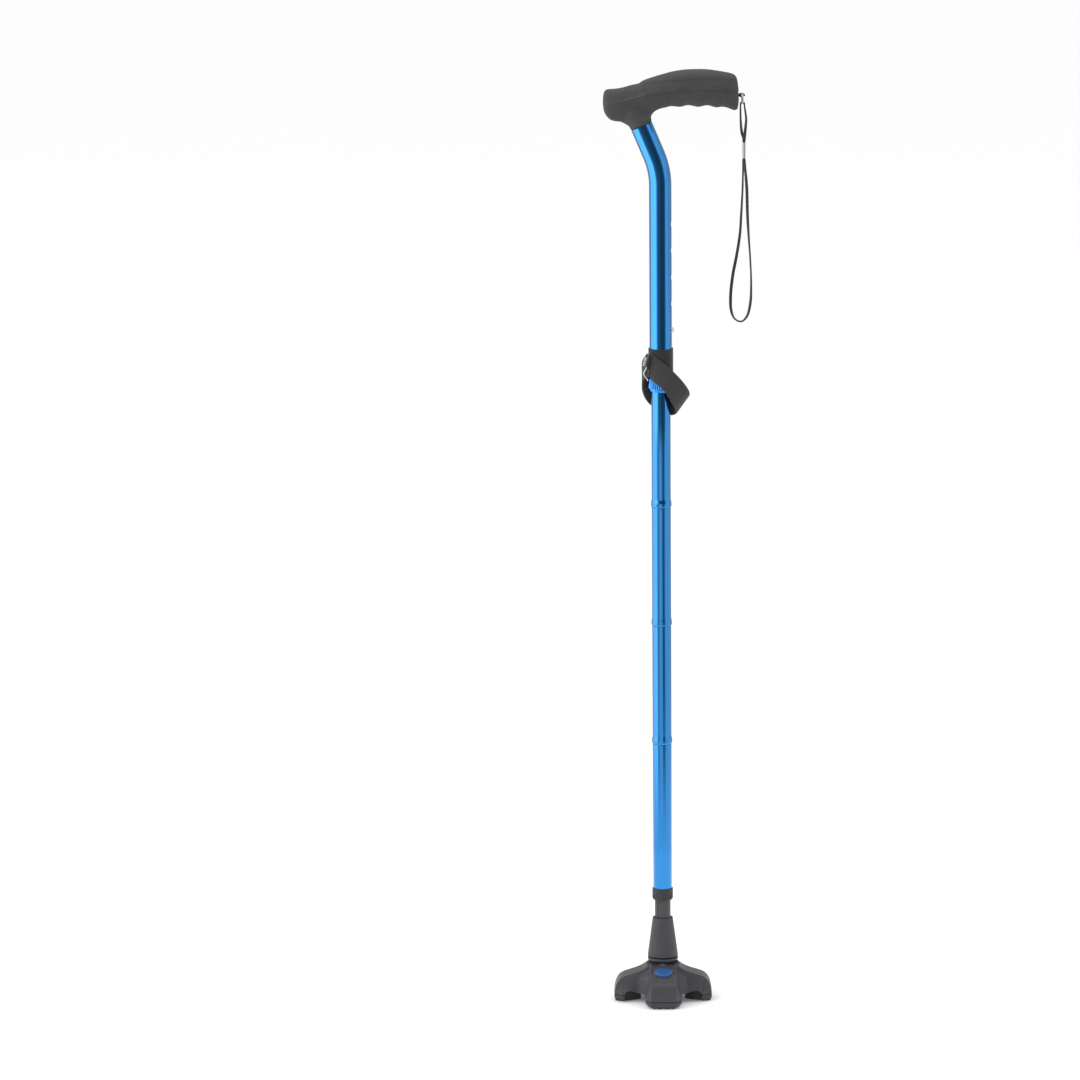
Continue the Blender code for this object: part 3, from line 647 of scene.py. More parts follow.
def applied(bm, name, *modifiers):
    """The mesh after modifiers, each given as (kind, settings)."""
    made = placed(mesh_of(bm, name))
    for kind, settings in modifiers:
        step = made.modifiers.new(kind.lower(), kind)
        for key, value in settings.items():
            setattr(step, key, value)
    return evaluated(made)


# ---------------------------------------------------------------- shaft

# the folding sections' outer radius and every tube's wall, in millimetres
SECTION_R, WALL = radius_of("section_d_tube"), 1.2


def section_tube(node, body, flared=True):
    """A blue tube; its lower end is swaged out round the next ferrule, then chamfered."""
    low, high = span_mm(node)
    bore, swage = SECTION_R - WALL, SECTION_R + 0.75
    corners = [(bore, high, 0.3), (SECTION_R, high, 0.5)]
    if flared:
        corners += [(SECTION_R, low + 7.4, 1.6), (swage, low + 4.4, 1.8), (swage, low + 1.0, 0.4)]
        corners += [(SECTION_R + 0.25, low, 0.2)]
    else:
        corners += [(SECTION_R, low, 0.3)]
    corners += [(bore, low, 0.2)]
    turned(node.replace("_tube", "_shell"), corners, BLUE, body, "blue_tube", node)


def make_sections():
    """The four folding sections and the bright ferrules that join them."""
    section_tube("section_d_tube", "shaft_d", flared=False)
    for letter in "cba":
        section_tube(f"section_{letter}_tube", f"shaft_{letter}")
    for node, body in (("ferrule_cd", "shaft_d"), ("ferrule_bc", "shaft_c"), ("ferrule_ab", "shaft_b")):
        low, high = span_mm(node)
        outer = radius_of(node)
        corners = [(outer, low, 0.3), (outer - 1.1, low, 0.2), (outer - 1.1, high, 0.2)]
        corners += [(outer - 1.0, high, 0), (outer, high - 2.5, 1.2)]
        turned(node + "_insert", corners, FERRULE_METAL, body, "aluminium", node)


def make_collars():
    """The ribbed lock nut under the outer tube and the ribbed collar on the stem."""

    def ribs(count, depth, low, high):
        """Ribs at full depth between two heights, fading out over a millimetre."""

        def fade(z):
            return max(0.0, min(1.0, z / MM - low, high - z / MM))

        return {"sides": 288, "ribs": count, "depth": depth * MM, "ribbed": fade}

    low, high = span_mm("lock_nut")
    bore, seat = SECTION_R + 0.3, low + 3.4
    corners = [
        (11.4, high, 0.2), (12.2, high - 0.6, 0.4), (12.25, seat, 0.8), (10.9, low, 0.4), (bore, low, 0.2),
        (bore, seat, 0), (11.4, seat, 0),
    ]
    grooves = ribs(36, 0.55, low + 2.5, high - 0.2)
    turned("lock_nut_ribbed", corners, BLUE, "lock_nut", "blue_tube", "lock_nut", **grooves)
    low, high = span_mm("stem_collar")
    corners = [
        (9.8, high, 0.2), (10.3, high - 0.3, 0.3), (10.3, low + 1.6, 0.5), (9.3, low, 0.3), (8.2, low, 0.2),
        (8.2, low + 4.3, 0), (9.8, low + 4.3, 0),
    ]
    grooves = ribs(32, 0.5, low + 1.0, high - 1.2)
    node = "stem_collar"
    turned("stem_collar_ribbed", corners, BLACK_PLASTIC, node, "black_plastic", node, **grooves)


# ---------------------------------------------------------------- upper tube and its fittings

BEND_START = 0.8246
BEND_R = 0.0790
BEND = math.radians(22.6)
NECK_STRAIGHT = 0.0321
UPPER_R = 11.11 * MM
HOLE_COUNT, HOLE_PITCH, HOLE_R = 5, 26.5 * MM, 3.6 * MM


def lean(distance, away=0.0, across=0.0):
    """A point by the leaning top of the tube: distance above its end, away in the XZ plane, across in Y."""
    up = Vector((-math.sin(BEND), 0, math.cos(BEND)))
    out = Vector((math.cos(BEND), 0, math.sin(BEND)))
    foot = on_shaft(-BEND_R * (1 - math.cos(BEND)), across, BEND_START + BEND_R * math.sin(BEND))
    return foot + up * (NECK_STRAIGHT + distance) + out * away


def cylinder(bm, start, end, radius):
    """A capped cylinder from one point to another."""
    way = end - start
    turn = Vector((0, 0, 1)).rotation_difference(way).to_matrix().to_4x4()
    place = Matrix.Translation((start + end) / 2) @ turn
    size = {"radius1": radius, "radius2": radius, "depth": way.length}
    bmesh.ops.create_cone(bm, cap_ends=True, segments=32, matrix=place, **size)


def make_upper_tube():
    """The outer tube, bent back under the handle, with its row of height holes."""
    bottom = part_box("upper_tube")[0].z
    stations = [(on_shaft(0, 0, z), 0.0) for z in (bottom, bottom + 0.4 * MM, BEND_START)]
    for i in range(1, 25):
        angle = BEND * i / 24
        back = -BEND_R * (1 - math.cos(angle))
        stations.append((on_shaft(back, 0, BEND_START + BEND_R * math.sin(angle)), angle))
    stations.append((lean(-0.3 * MM), BEND))

    def ring(place, angle, radius):
        out = Vector((math.cos(angle), 0, math.sin(angle)))
        return [place + (out * math.cos(t) + Vector((0, math.sin(t), 0))) * radius for t in turns(ROUND)]

    chamfer = 0.3 * MM
    rings = [ring(place, angle, UPPER_R - (0 if k else chamfer)) for k, (place, angle) in enumerate(stations)]
    rings += [ring(place, angle, UPPER_R - WALL * MM) for place, angle in reversed(stations)]
    bm = bmesh.new()
    skin(bm, rings + [rings[0]], caps=False)
    bmesh.ops.remove_doubles(bm, verts=bm.verts, dist=SAME_POINT)
    holes = bmesh.new()
    button = middle("snap_button").z
    for i in range(HOLE_COUNT):
        height = button + i * HOLE_PITCH
        cylinder(holes, on_shaft(6 * MM, 0, height), on_shaft(16 * MM, 0, height), HOLE_R)
    mesh = cut_by(mesh_of(bm, "upper_shell"), holes)
    piece("upper_shell", mesh, BLUE, "upper", "blue_tube", "upper_tube")


def cut_by(mesh, cutter_bm):
    """The mesh after one exact boolean cut."""
    made, cutter = placed(mesh), placed(mesh_of(cutter_bm, "cutter"))
    step = made.modifiers.new("cut", "BOOLEAN")
    step.object = cutter
    step.operation = "DIFFERENCE"
    step.solver = "EXACT"
    cut = evaluated(made)
    bpy.data.objects.remove(cutter)
    return cut


# the bent leaf's line: distance from the shaft's axis and height above the button
LEAF_SPINE = [
    (5.4, 4.0), (5.4, -4.0), (3.5, -18.0), (1.6, -24.6), (0.0, -26.2), (-1.8, -24.6), (-4.5, -18.0),
    (-7.0, 4.0),
]


def make_button():
    """The domed snap button, its axis along X, and its bent leaf spring."""
    height, reach, rim, foot = middle("snap_button").z, (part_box("snap_button")[1].x - SHAFT) / MM, 6.8, 6.0
    dome = [
        (0, reach, 0), (1.3, reach - 0.15, 0.5), (2.5, reach - 1.0, 0.8), (3.2, reach - 2.6, 0.8),
        (3.2, rim, 0), (4.2, rim, 0), (4.2, foot, 0), (0, foot, 0),
    ]
    bm = lathe(bmesh.new(), rounded(dome, closed=False), Vector((0, 0)), 64, closed=False)
    turn = Matrix.Translation(on_shaft(0, 0, height)) @ Matrix.Rotation(math.pi / 2, 4, "Y")
    bmesh.ops.transform(bm, matrix=turn, verts=bm.verts)
    piece("snap_button_dome", bm, STEEL, "button", "steel", "snap_button")

    # the bent leaf spring, all of it on the button's body, its back leg too
    half_thick, half_wide = 0.25 * MM, 2.8 * MM
    line = through([on_shaft(x * MM, 0, height + z * MM) for x, z in LEAF_SPINE], 5)
    bm, rings = bmesh.new(), []
    for place, way in zip(line, ways(line)):
        side = way.cross(Vector((0, 1, 0))) * half_thick
        corners = ((side, -half_wide), (side, half_wide), (-side, half_wide), (-side, -half_wide))
        rings.append([place + shift + Vector((0, y, 0)) for shift, y in corners])
    skin(bm, rings)
    spring = piece("button_leaf", bm, STEEL, "button", "steel", "button_spring", sharp=35)
    on_shaft(5.4 * MM, 0, height)
    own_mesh(spring)


# ---------------------------------------------------------------- grip

# heights of the grip's outlines and creases, and its half width, each in millimetres from the shaft's axis
GRIP_TOP = [
    (-56.2, 908), (-55.9, 913), (-55.2, 917.2), (-53.6, 919.6), (-51, 920.6), (-45.6, 920.9), (-37.6, 922),
    (-28.5, 924.5), (-20, 926.4), (-18.0, 928.3), (-10.2, 931.3), (1.2, 934.8), (12.6, 937.8),
    (23.9, 939.5), (35.3, 940), (44.4, 939.8), (53.5, 938.8), (62.6, 937.3), (70, 935.7), (73.6, 934),
    (75.4, 931.6), (76.4, 928), (77.3, 921), (77.9, 914),
]
GRIP_BOTTOM = [
    (-56.2, 907), (-55.9, 903), (-54.8, 898.5), (-52.6, 894.5), (-50, 891.6), (-46.8, 889.9), (-42, 889),
    (-34, 889), (-24, 891), (-14, 895.5), (-4.1, 899.6), (0, 901.5), (5.7, 902.7), (10, 903.9), (15, 903.6),
    (19.9, 903.1), (27.4, 904.9), (33, 903.9), (37.6, 902.9), (42, 903.8), (46.5, 904.6), (51, 903.5),
    (55.2, 902.2), (60, 902.9), (64.5, 902.5), (69, 900.7), (73, 899.3), (75.9, 900.2), (77.4, 903.6),
    (77.9, 908),
]
GRIP_HALF = [
    (-56.2, 6.5), (-55.9, 8.6), (-55.2, 10.2), (-53.6, 11.9), (-51, 13.1), (-46, 13.9), (-30, 14.5),
    (0, 15.1), (40, 15.5), (62, 14.9), (70, 13.9), (74, 12.6), (76.2, 10.9), (77.3, 9.2), (77.9, 7.4),
]
PARTING = [
    (-56, 904.6), (-50.8, 905.5), (-37.7, 908.6), (-24, 912.3), (-12.6, 915.1), (4.5, 918), (21.6, 919.9),
    (38.7, 920.6), (55.8, 920.3), (67.2, 919.3), (78, 917.9),
]
RIDGE = [
    (-56, 917), (-40, 919.5), (-20, 925.5), (-5.7, 928.6), (10.3, 930.6), (27.3, 931.9), (44.4, 932.2),
    (61.4, 931.4), (78, 929.5),
]
# the neck: distance up its lean, reach to the right and to the left in the XZ plane, reach in Y
NECK_SWELL = [
    (0.0, 10.9, 10.9, 10.9), (0.35, 11.3, 11.3, 11.3), (1.5, 11.4, 11.3, 11.5), (3.6, 12.0, 11.6, 12.2),
    (5.2, 13.1, 12.3, 13.0), (6.6, 15.0, 13.3, 13.8), (7.9, 18.0, 14.4, 14.5), (9.0, 22.0, 15.2, 14.9),
    (11.5, 23.0, 17.6, 15.4), (15.0, 22.0, 21.0, 15.3), (20.0, 18.0, 19.0, 14.2), (24.0, 12.0, 13.0, 11.0),
]


def grip_ring(x):
    """The bar's section at x: a crowned top, a ridge, a flank to the parting line, a rounded underside."""
    top, bottom, half = curve_value(GRIP_TOP, x), curve_value(GRIP_BOTTOM, x), curve_value(GRIP_HALF, x)
    ridge = min(curve_value(RIDGE, x), top - 0.30 * (top - bottom) * min(1, (78.5 - x) / 8) - 0.4)
    parting = max(curve_value(PARTING, x), bottom + 0.25 * (top - bottom))
    parting = min(parting, bottom + 0.72 * (top - bottom))
    ridge = max(ridge, parting + 0.15 * (top - parting))
    over, side, under = top - ridge, ridge - parting, parting - bottom
    flank = [
        (0.0, top), (0.22, top - 0.03 * over), (0.45, top - 0.14 * over), (0.64, top - 0.36 * over),
        (0.78, top - 0.66 * over), (0.87, ridge), (0.93, ridge - 0.30 * side), (0.975, ridge - 0.65 * side),
        (1.0, parting), (1.0, parting - 0.22 * under), (0.975, parting - 0.45 * under),
        (0.92, parting - 0.66 * under), (0.80, parting - 0.84 * under), (0.62, parting - 0.95 * under),
        (0.32, bottom + 0.01 * under), (0.0, bottom),
    ]
    right = [Vector((half * share, z)) for share, z in flank]
    left = [Vector((-p.x, p.y)) for p in reversed(right[1:-1])]
    outline = through([Vector((p.x, p.y, 0)) for p in right + left], 2, closed=True)
    return [at(x, p.x, p.y) for p in outline]


def make_grip():
    """The over-moulded grip: bar and neck in one, then the parting line and the upper ridge are carved."""
    stops = [-56.2, -55.9, -55.2, -54.4, -53.6, -52.3, -51] + [-49 + 1.5 * k for k in range(81)]
    stops += [72.6, 73.6, 74.6, 75.4, 76.2, 76.9, 77.4, 77.9]
    bm = bmesh.new()
    skin(bm, [grip_ring(x) for x in sorted(stops)])
    neck = []
    for distance, right, left, depth in through_rows(NECK_SWELL, 3):
        ring = []
        for turn in turns(64):
            reach = right if math.cos(turn) > 0 else left
            ring.append(lean(distance * MM, reach * MM * math.cos(turn), depth * MM * math.sin(turn)))
        neck.append(ring)
    skin(bm, neck)
    remesh = ("REMESH", {"mode": "VOXEL", "voxel_size": 0.8 * MM})
    soften = ("SMOOTH", {"factor": 0.5, "iterations": 5})
    mesh = applied(bm, "grip_skin", remesh, soften, ("SUBSURF", {"levels": 1}))
    normals = [v.normal.copy() for v in mesh.vertices]
    for vertex, normal in zip(mesh.vertices, normals):
        x, z = (vertex.co.x - SHAFT) / MM, vertex.co.z / MM
        sideways = min(1, abs(normal.y) * 1.6) if abs(normal.x) < 0.9 else 1.0
        below = curve_value(PARTING, x) - z
        groove = 0.75 * math.exp(-((below / 0.45) ** 2)) * sideways
        beyond_neck = max(0, min(1, (x + 2) / 14, (2.5 + below) / 3))
        inset = 0.40 / (1 + math.exp(-below / 0.25)) * sideways * beyond_neck
        away_from_ends = max(0, min(1, (x + 19) / 5, (77 - x) / 6))
        above = z - curve_value(RIDGE, x)
        near = max(0, min(1, (9 + above) / 7))
        ridge = 0.60 / (1 + math.exp(above / 0.28)) * near * min(1, abs(normal.y) * 3) * away_from_ends
        vertex.co -= normal * (groove + inset + ridge) * MM
    return piece("grip_moulding", mesh, GRIP_RUBBER, "upper", "grip_rubber", "grip", sharp=0)


# ---------------------------------------------------------------- eye, split ring and wrist strap

EYE = on_shaft(81.2 * MM, 0, 914 * MM)
# the eye's knob along X: distance from its hole, half height, half width
EYE_KNOB = [
    (-3.2, 1.75, 1.4), (-2.6, 2.05, 1.6), (-1.4, 2.15, 1.7), (0, 2.1, 1.7), (1.1, 1.75, 1.4),
    (2.0, 1.15, 1.0), (2.6, 0.45, 0.5),
]
RING_RADIUS = 4.4 * MM
CORD_RADIUS = 1.1 * MM
CRIMP_LOW, CRIMP_HIGH = span("cord_crimp")
CRIMP_X = middle("cord_crimp").x - SHAFT


def tube_along(bm, points, radius, sides=16, closed=False, uv=False):
    """A round tube along points, held in their own smooth frame."""
    rings, across, travelled, us = [], None, 0.0, []
    for i, (place, way) in enumerate(zip(points, ways(points, closed))):
        if across is None:
            across = way.orthogonal().normalized()
        across = (across - way * across.dot(way)).normalized()
        other = way.cross(across)
        rings.append([place + (across * math.cos(t) + other * math.sin(t)) * radius for t in turns(sides)])
        us.append(travelled)
        travelled += (neighbours(points, i, closed)[1] - place).length
    us.append(travelled)
    vs = [radius * 2 * math.pi * t / sides for t in range(sides + 1)]
    skin(bm, rings, closed=closed, uv=(us, vs) if uv else None)
    return bm


def make_eye_and_ring():
    """A dark moulded eye on a pin, pointed at its far side, and a split ring of two turns of wire."""
    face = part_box("grip")[1].x - SHAFT
    bm = bmesh.new()
    tube_along(bm, [on_shaft(face - 4 * MM, 0, EYE.z), on_shaft(face + 0.6 * MM, 0, EYE.z)], 1.4 * MM, 24)
    knob = []
    for x, high, wide in EYE_KNOB:
        round_it = [(wide * MM * math.cos(t), high * MM * math.sin(t)) for t in turns(32)]
        knob.append([EYE + Vector((x * MM, y, z)) for y, z in round_it])
    skin(bm, knob)
    hole = bmesh.new()
    cylinder(hole, EYE - Vector((0, 4 * MM, 0)), EYE + Vector((0, 4 * MM, 0)), 1.15 * MM)
    eye = cut_by(mesh_of(bm, "strap_eye_knob"), hole)
    piece("strap_eye_knob", eye, BLACK_PLASTIC, "upper", "black_plastic", "strap_eye")
    steps, start = 144, 0.6
    coil = []
    for i in range(steps + 1):
        turn = 4 * math.pi * i / steps + start
        side = max(-1, min(1, (i / steps - 0.5) * 2 * 2.6)) * 0.5 * MM
        drop = RING_RADIUS * (math.cos(turn) - 1)
        coil.append(EYE + Vector((side, RING_RADIUS * math.sin(turn), drop)))
    bm = tube_along(bmesh.new(), coil, 0.46 * MM, 12)
    piece("split_ring_wire", bm, STEEL, "ring", "steel", "split_ring")


def wrist_route():
    """The cord's line, with the turn of its flat side at each point: 0 faces the front, 90 lies edge on."""
    x, z, apart = EYE.x - SHAFT, EYE.z - 2 * RING_RADIUS, CORD_RADIUS + 0.15 * MM
    wrap = 0.55 * MM + CORD_RADIUS + 0.3 * MM
    centre = (CRIMP_LOW + CRIMP_HIGH) / 2
    top, low = CRIMP_HIGH + 0.3 * MM, CRIMP_LOW - 0.3 * MM
    route = [
        (CRIMP_X, apart, centre + 0.4 * MM, 0), (CRIMP_X, apart, top, 0),
        (CRIMP_X - 0.0002, apart, top + 0.0037, 12), (x - 0.0006, 0.0010, 0.8765, 35),
        (x - 0.0016, 0.0004, 0.8860, 58), (x - 0.0019, 0, 0.8950, 70), (x - 0.00195, 0, 0.9010, 80),
        (x - wrap, 0, z - 0.0015, 86), (x - wrap * 0.71, 0, z + wrap * 0.71, 90), (x, 0, z + wrap, 90),
        (x + wrap * 0.71, 0, z + wrap * 0.71, 90), (x + wrap, 0, z - 0.0015, 86),
        (x + 0.0023, 0, 0.9010, 80), (x + 0.0030, 0, 0.8960, 70), (x + 0.0036, -0.0003, 0.8900, 60),
        (x + 0.0026, -0.0010, 0.8785, 35), (CRIMP_X + 0.0004, -apart, top + 0.0037, 12),
        (CRIMP_X, -apart, top, 0), (CRIMP_X, -apart, low, 0),
    ]
    hand = [
        (0.0834, -apart, 0.8440, 45), (0.0852, -apart, 0.8235, 28), (0.0860, -apart, 0.7942, 36),
        (0.0872, -0.0012, 0.7718, 64), (0.0888, -0.0008, 0.7477, 78), (0.0895, -0.0004, 0.7252, 66),
        (0.0886, 0, 0.7060, 44), (0.0850, 0, 0.6930, 62), (0.0795, 0, 0.6883, 88), (0.0732, 0, 0.6912, 78),
        (0.0698, 0, 0.6993, 42), (0.0692, 0.0004, 0.7132, 10), (0.0713, 0.0008, 0.7339, 8),
        (0.0753, 0.0012, 0.7546, 24), (0.0786, apart, 0.7760, 42), (0.0798, apart, 0.7940, 52),
        (0.0812, apart, 0.8200, 68), (0.0820, apart, 0.8440, 60), (CRIMP_X, apart, low, 0),
        (CRIMP_X, apart, centre - 0.4 * MM, 0),
    ]
    return [Vector(row) for row in route + hand]


def make_wrist_strap():
    """One flat braided cord, its two ends meeting inside a ribbed aluminium crimp."""
    rows = [(*on_shaft(x, y, z), math.radians(turn)) for x, y, z, turn in wrist_route()]
    run = through_uneven([Vector(row) for row in rows], 24)
    # even steps, so that the braid keeps its pitch
    line, twist, travelled = [run[0].xyz], [run[0].w], 0.0
    step = 0.45 * MM
    for before, after in zip(run, run[1:]):
        travelled += (after.xyz - before.xyz).length
        if travelled >= step:
            line.append(after.xyz)
            twist.append(after.w)
            travelled = 0.0
    outline = rounded_box(1.55 * MM, 0.78 * MM, 0.75, 16)
    braid_pitch = 1.7
    rings, us, length = [], [], 0.0
    for i, (place, way) in enumerate(zip(line, ways(line))):
        in_plane = way.cross(Vector((0, 1, 0))).normalized()
        side = way.cross(in_plane)
        across = in_plane * math.cos(twist[i]) + side * math.sin(twist[i])
        normal = way.cross(across)
        inside = CRIMP_LOW - 1 * MM < place.z < CRIMP_HIGH + 1 * MM
        pinch = 0.9 if inside else 1.0 + 0.035 * math.sin(length / MM * 2 * math.pi / braid_pitch)
        rings.append([place + across * a * pinch + normal * n for a, n in outline])
        us.append(length)
        length += (neighbours(line, i)[1] - place).length
    bm = bmesh.new()
    skin(bm, rings, uv=(us, [a for a, _ in outline] + [outline[0][0]]))
    nodes = ("wrist_cord_ring_loop", "wrist_cord_hand_loop")
    cord = piece("wrist_cord", bm, BRAID, "wrist_strap", "cord_braid", *nodes, sharp=0)
    crimp = make_crimp()


def rounded_box(half_x, half_y, power, count=32):
    """A superellipse; power 1 is an ellipse, and smaller is squarer."""
    outline = []
    for k in range(count):
        t = 2 * math.pi * k / count
        c, s = math.cos(t), math.sin(t)
        x, y = math.copysign(abs(c) ** power, c), math.copysign(abs(s) ** power, s)
        outline.append((half_x * x, half_y * y))
    return outline


def make_crimp():
    """The ribbed aluminium crimp on the cord's two ends."""
    rows = []
    count, rib_pitch = 88, 2.05 * MM
    for i in range(count + 1):
        z = CRIMP_LOW + (CRIMP_HIGH - CRIMP_LOW) * i / count
        end = min(i, count - i)
        rib = 0.16 * MM * (0.5 - 0.5 * math.cos(2 * math.pi * (z - CRIMP_LOW) / rib_pitch)) ** 2
        lip = 0.25 * MM if end == 0 else 0.08 * MM if end == 1 else 0
        shrink = rib + lip
        outline = rounded_box(1.7 * MM - shrink, 2.6 * MM - shrink * 0.6, 0.75)
        rows.append([on_shaft(CRIMP_X + dx, dy, z) for dx, dy in outline])
    bm = bmesh.new()
    skin(bm, rows)
    return piece("cord_crimp_ribbed", bm, CRIMP_METAL, "wrist_strap", "aluminium", "cord_crimp")


# ---------------------------------------------------------------- storage strap


def webbing(bm, centres, widths, width, thick, closed=True):
    """A band of webbing with rounded edges, UV in metres: U along it, V across."""
    hw, ht = width / 2, thick / 2
    e = ht * 0.7
    section = [
        (-hw + e, -ht), (-hw / 2, -ht), (0, -ht), (hw / 2, -ht), (hw - e, -ht),
        (hw - e * 0.2, -ht + e * 0.4), (hw, 0), (hw - e * 0.2, ht - e * 0.4), (hw - e, ht), (hw / 2, ht),
        (0, ht), (-hw / 2, ht), (-hw + e, ht), (-hw + e * 0.2, ht - e * 0.4), (-hw, 0),
        (-hw + e * 0.2, -ht + e * 0.4),
    ]
    rings, us, length = [], [0.0], 0.0
    for i, (place, way) in enumerate(zip(centres, ways(centres, closed))):
        normal = way.cross(widths[i]).normalized()
        rings.append([place + widths[i] * v + normal * t for v, t in section])
        length += (neighbours(centres, i, closed)[1] - place).length
        us.append(length)
    skin(bm, rings, closed=closed, uv=(us, [v for v, _ in section] + [section[0][0]]))
    return bm


# the band from its seam on the sleeve, across the front, round the right, behind the tube, to the buckle:
# x, y and height in millimetres, how far its width leans towards +X, and its width as a share of BAND_WIDTH
BAND = [
    (-11.1, -6.6, 647.0, 0.10, 1), (-9.0, -10.0, 645.0, 0.10, 1), (-4.5, -12.9, 641.0, 0.12, 1),
    (1.5, -14.3, 636.8, 0.16, 1), (8.0, -14.4, 630.4, 0.26, 1), (14.0, -12.4, 622.6, 0.42, 1),
    (18.8, -9.0, 614.9, 0.60, 1), (21.2, -4.8, 609.4, 0.70, 0.98), (21.5, -0.6, 606.0, 0.72, 0.93),
    (20.8, 3.2, 604.9, 0.70, 0.97), (18.2, 6.8, 603.6, 0.66, 1), (13.6, 9.8, 603.8, 0.56, 1),
    (7.4, 12.8, 606.6, 0.42, 1), (0.0, 14.4, 610.2, 0.28, 1), (-8.1, 12.6, 614.6, 0.15, 1),
    (-14.2, 8.6, 621.2, 0.05, 1), (-17.6, 3.4, 629.0, 0.0, 1), (-18.3, -1.2, 636.0, 0.0, 1),
    (-17.4, -5.4, 641.0, 0.05, 1), (-15.4, -8.6, 644.6, 0.08, 1), (-12.2, -9.6, 646.4, 0.08, 1),
]
BAND_WIDTH = 24.2
FOLDED_END = [
    (-11.9, -8.6, 657.4), (-13.0, -9.0, 655.0), (-14.4, -9.2, 651.8), (-15.4, -9.2, 648.6),
    (-15.4, -9.0, 645.6),
]
CLIP_TOOTH = [(1.3, 0.5), (0, 0), (-0.9, 0.7), (-1.3, 2.4)]


def make_storage_strap():
    """The webbing that holds the folded cane together: a sleeve, a slanting loop and a bent wire buckle."""
    bottom, top = span("strap_sleeve")
    bottom, top = bottom - 1.5 * MM, top + 0.9 * MM
    radius = 11.85 * MM
    ring = [on_shaft(radius * math.cos(t), radius * math.sin(t), (bottom + top) / 2) for t in turns(ROUND)]
    bm = webbing(bmesh.new(), ring, [Vector((0, 0, 1))] * ROUND, top - bottom, 0.9 * MM)
    # the sleeve's darker webbing colour is painted shade
    piece("strap_sleeve_web", bm, SLEEVE_WEBBING_SHADED, "upper", "webbing", "strap_sleeve", sharp=40)

    rows = through_rows(BAND, 8)
    line = [at(x, y, z) for x, y, z, *_ in rows]
    widths = [Vector((lean_over, 0, 1)).normalized() * share for *_, lean_over, share in rows]
    bm = webbing(bmesh.new(), line, widths, BAND_WIDTH * MM, 1.3 * MM, closed=False)
    piece("strap_loop_web", bm, WEBBING, "upper", "webbing", "strap_loop", sharp=40)

    # the sewn end that holds the buckle, folded round its upper bar
    path = through([at(*place) for place in FOLDED_END], 6)
    bm = webbing(bmesh.new(), path, [Vector((-0.35, 0.94, 0))] * len(path), 9 * MM, 2.2 * MM, closed=False)
    piece("strap_tab_web", bm, WEBBING, "upper", "webbing", "strap_tab", sharp=40)

    # the buckle: a wire frame whose near and far ends are bent out to a blunt point
    near, far = -13.2, 7.6
    bars = [
        (-14.4, near + 1.0, 644.4), (-16.9, near, 638.6), (-13.4, near + 0.8, 632.6),
        (-13.6, near + 3.4, 631.6), (-16.4, far - 4, 631.0), (-16.9, far, 633.4), (-17.2, far + 0.5, 638.4),
        (-16.9, far, 643.4), (-16.4, far - 4, 645.6), (-15.0, near + 3.6, 646.2),
    ]
    line = through([at(*place) for place in bars], 8, closed=True)
    bm = tube_along(bmesh.new(), line, 0.62 * MM, 16, closed=True)
    # the crimped teeth of its clip, down the outside of the sewn end
    for k in range(6):
        tooth = [at(-14.9 - 0.36 * k + dx, -13.6 + dy, 654.6 - 1.45 * k) for dx, dy in CLIP_TOOTH]
        tube_along(bm, through(tooth, 4), 0.42 * MM, 10)
    piece("strap_buckle_wire", bm, STEEL, "upper", "steel", "strap_buckle")


# ---------------------------------------------------------------- stem, socket and foot


def make_socket():
    """The conical socket and the rubber ring between its two grooves."""
    low, high = span_mm("socket_cone")
    floor = low + 5.7
    corners = [
        (9.0, high - 0.4, 0.2), (9.3, high, 0.3), (10.1, high, 0.5), (15.3, low + 0.2, 0.3),
        (14.6, low, 0.3), (4, low, 0), (4, floor, 0), (8.2, floor, 0), (8.2, high - 0.8, 0.3),
    ]
    turned("socket_moulding", corners, FOOT_PLASTIC, "shaft_d", "foot_plastic", "socket_cone")
    low, high = span_mm("neck_ring")
    low, high = low - 0.35, high + 0.25
    corners = [
        (14.6, high, 0.2), (15.2, high - 0.4, 0.3), (15.2, low + 0.4, 0.3), (14.6, low, 0.2), (7, low, 0),
        (7, high, 0),
    ]
    turned("neck_bellows", corners, FOOT_PLASTIC, "neck_ring", "pad_rubber", "neck_ring")


def make_stem():
    """The dark tube between the socket and the last section, with a shallow groove down its front left."""
    bottom, top = span("stem_tube")
    outer, bore, groove_depth, groove_width, groove_at = 7.9, 6.7, 0.8, 6.5, 231
    rings = []
    for z in (bottom, 0.0850, 0.1010, top):
        ring = []
        for turn in turns(120):
            off_groove = abs((math.degrees(turn) - groove_at + 180) % 360 - 180)
            r = (outer - groove_depth * math.exp(-((off_groove / groove_width) ** 4))) * MM
            ring.append(on_shaft(r * math.cos(turn), r * math.sin(turn), z))
        rings.append(ring)
    for z in (top, bottom):
        rings.append([on_shaft(bore * MM * math.cos(t), bore * MM * math.sin(t), z) for t in turns(120)])
    bm = bmesh.new()
    skin(bm, rings + [rings[0]], caps=False)
    bmesh.ops.remove_doubles(bm, verts=bm.verts, dist=SAME_POINT)
    piece("stem_grooved", bm, STEM_PLASTIC, "shaft_d", "black_plastic", "stem_tube")


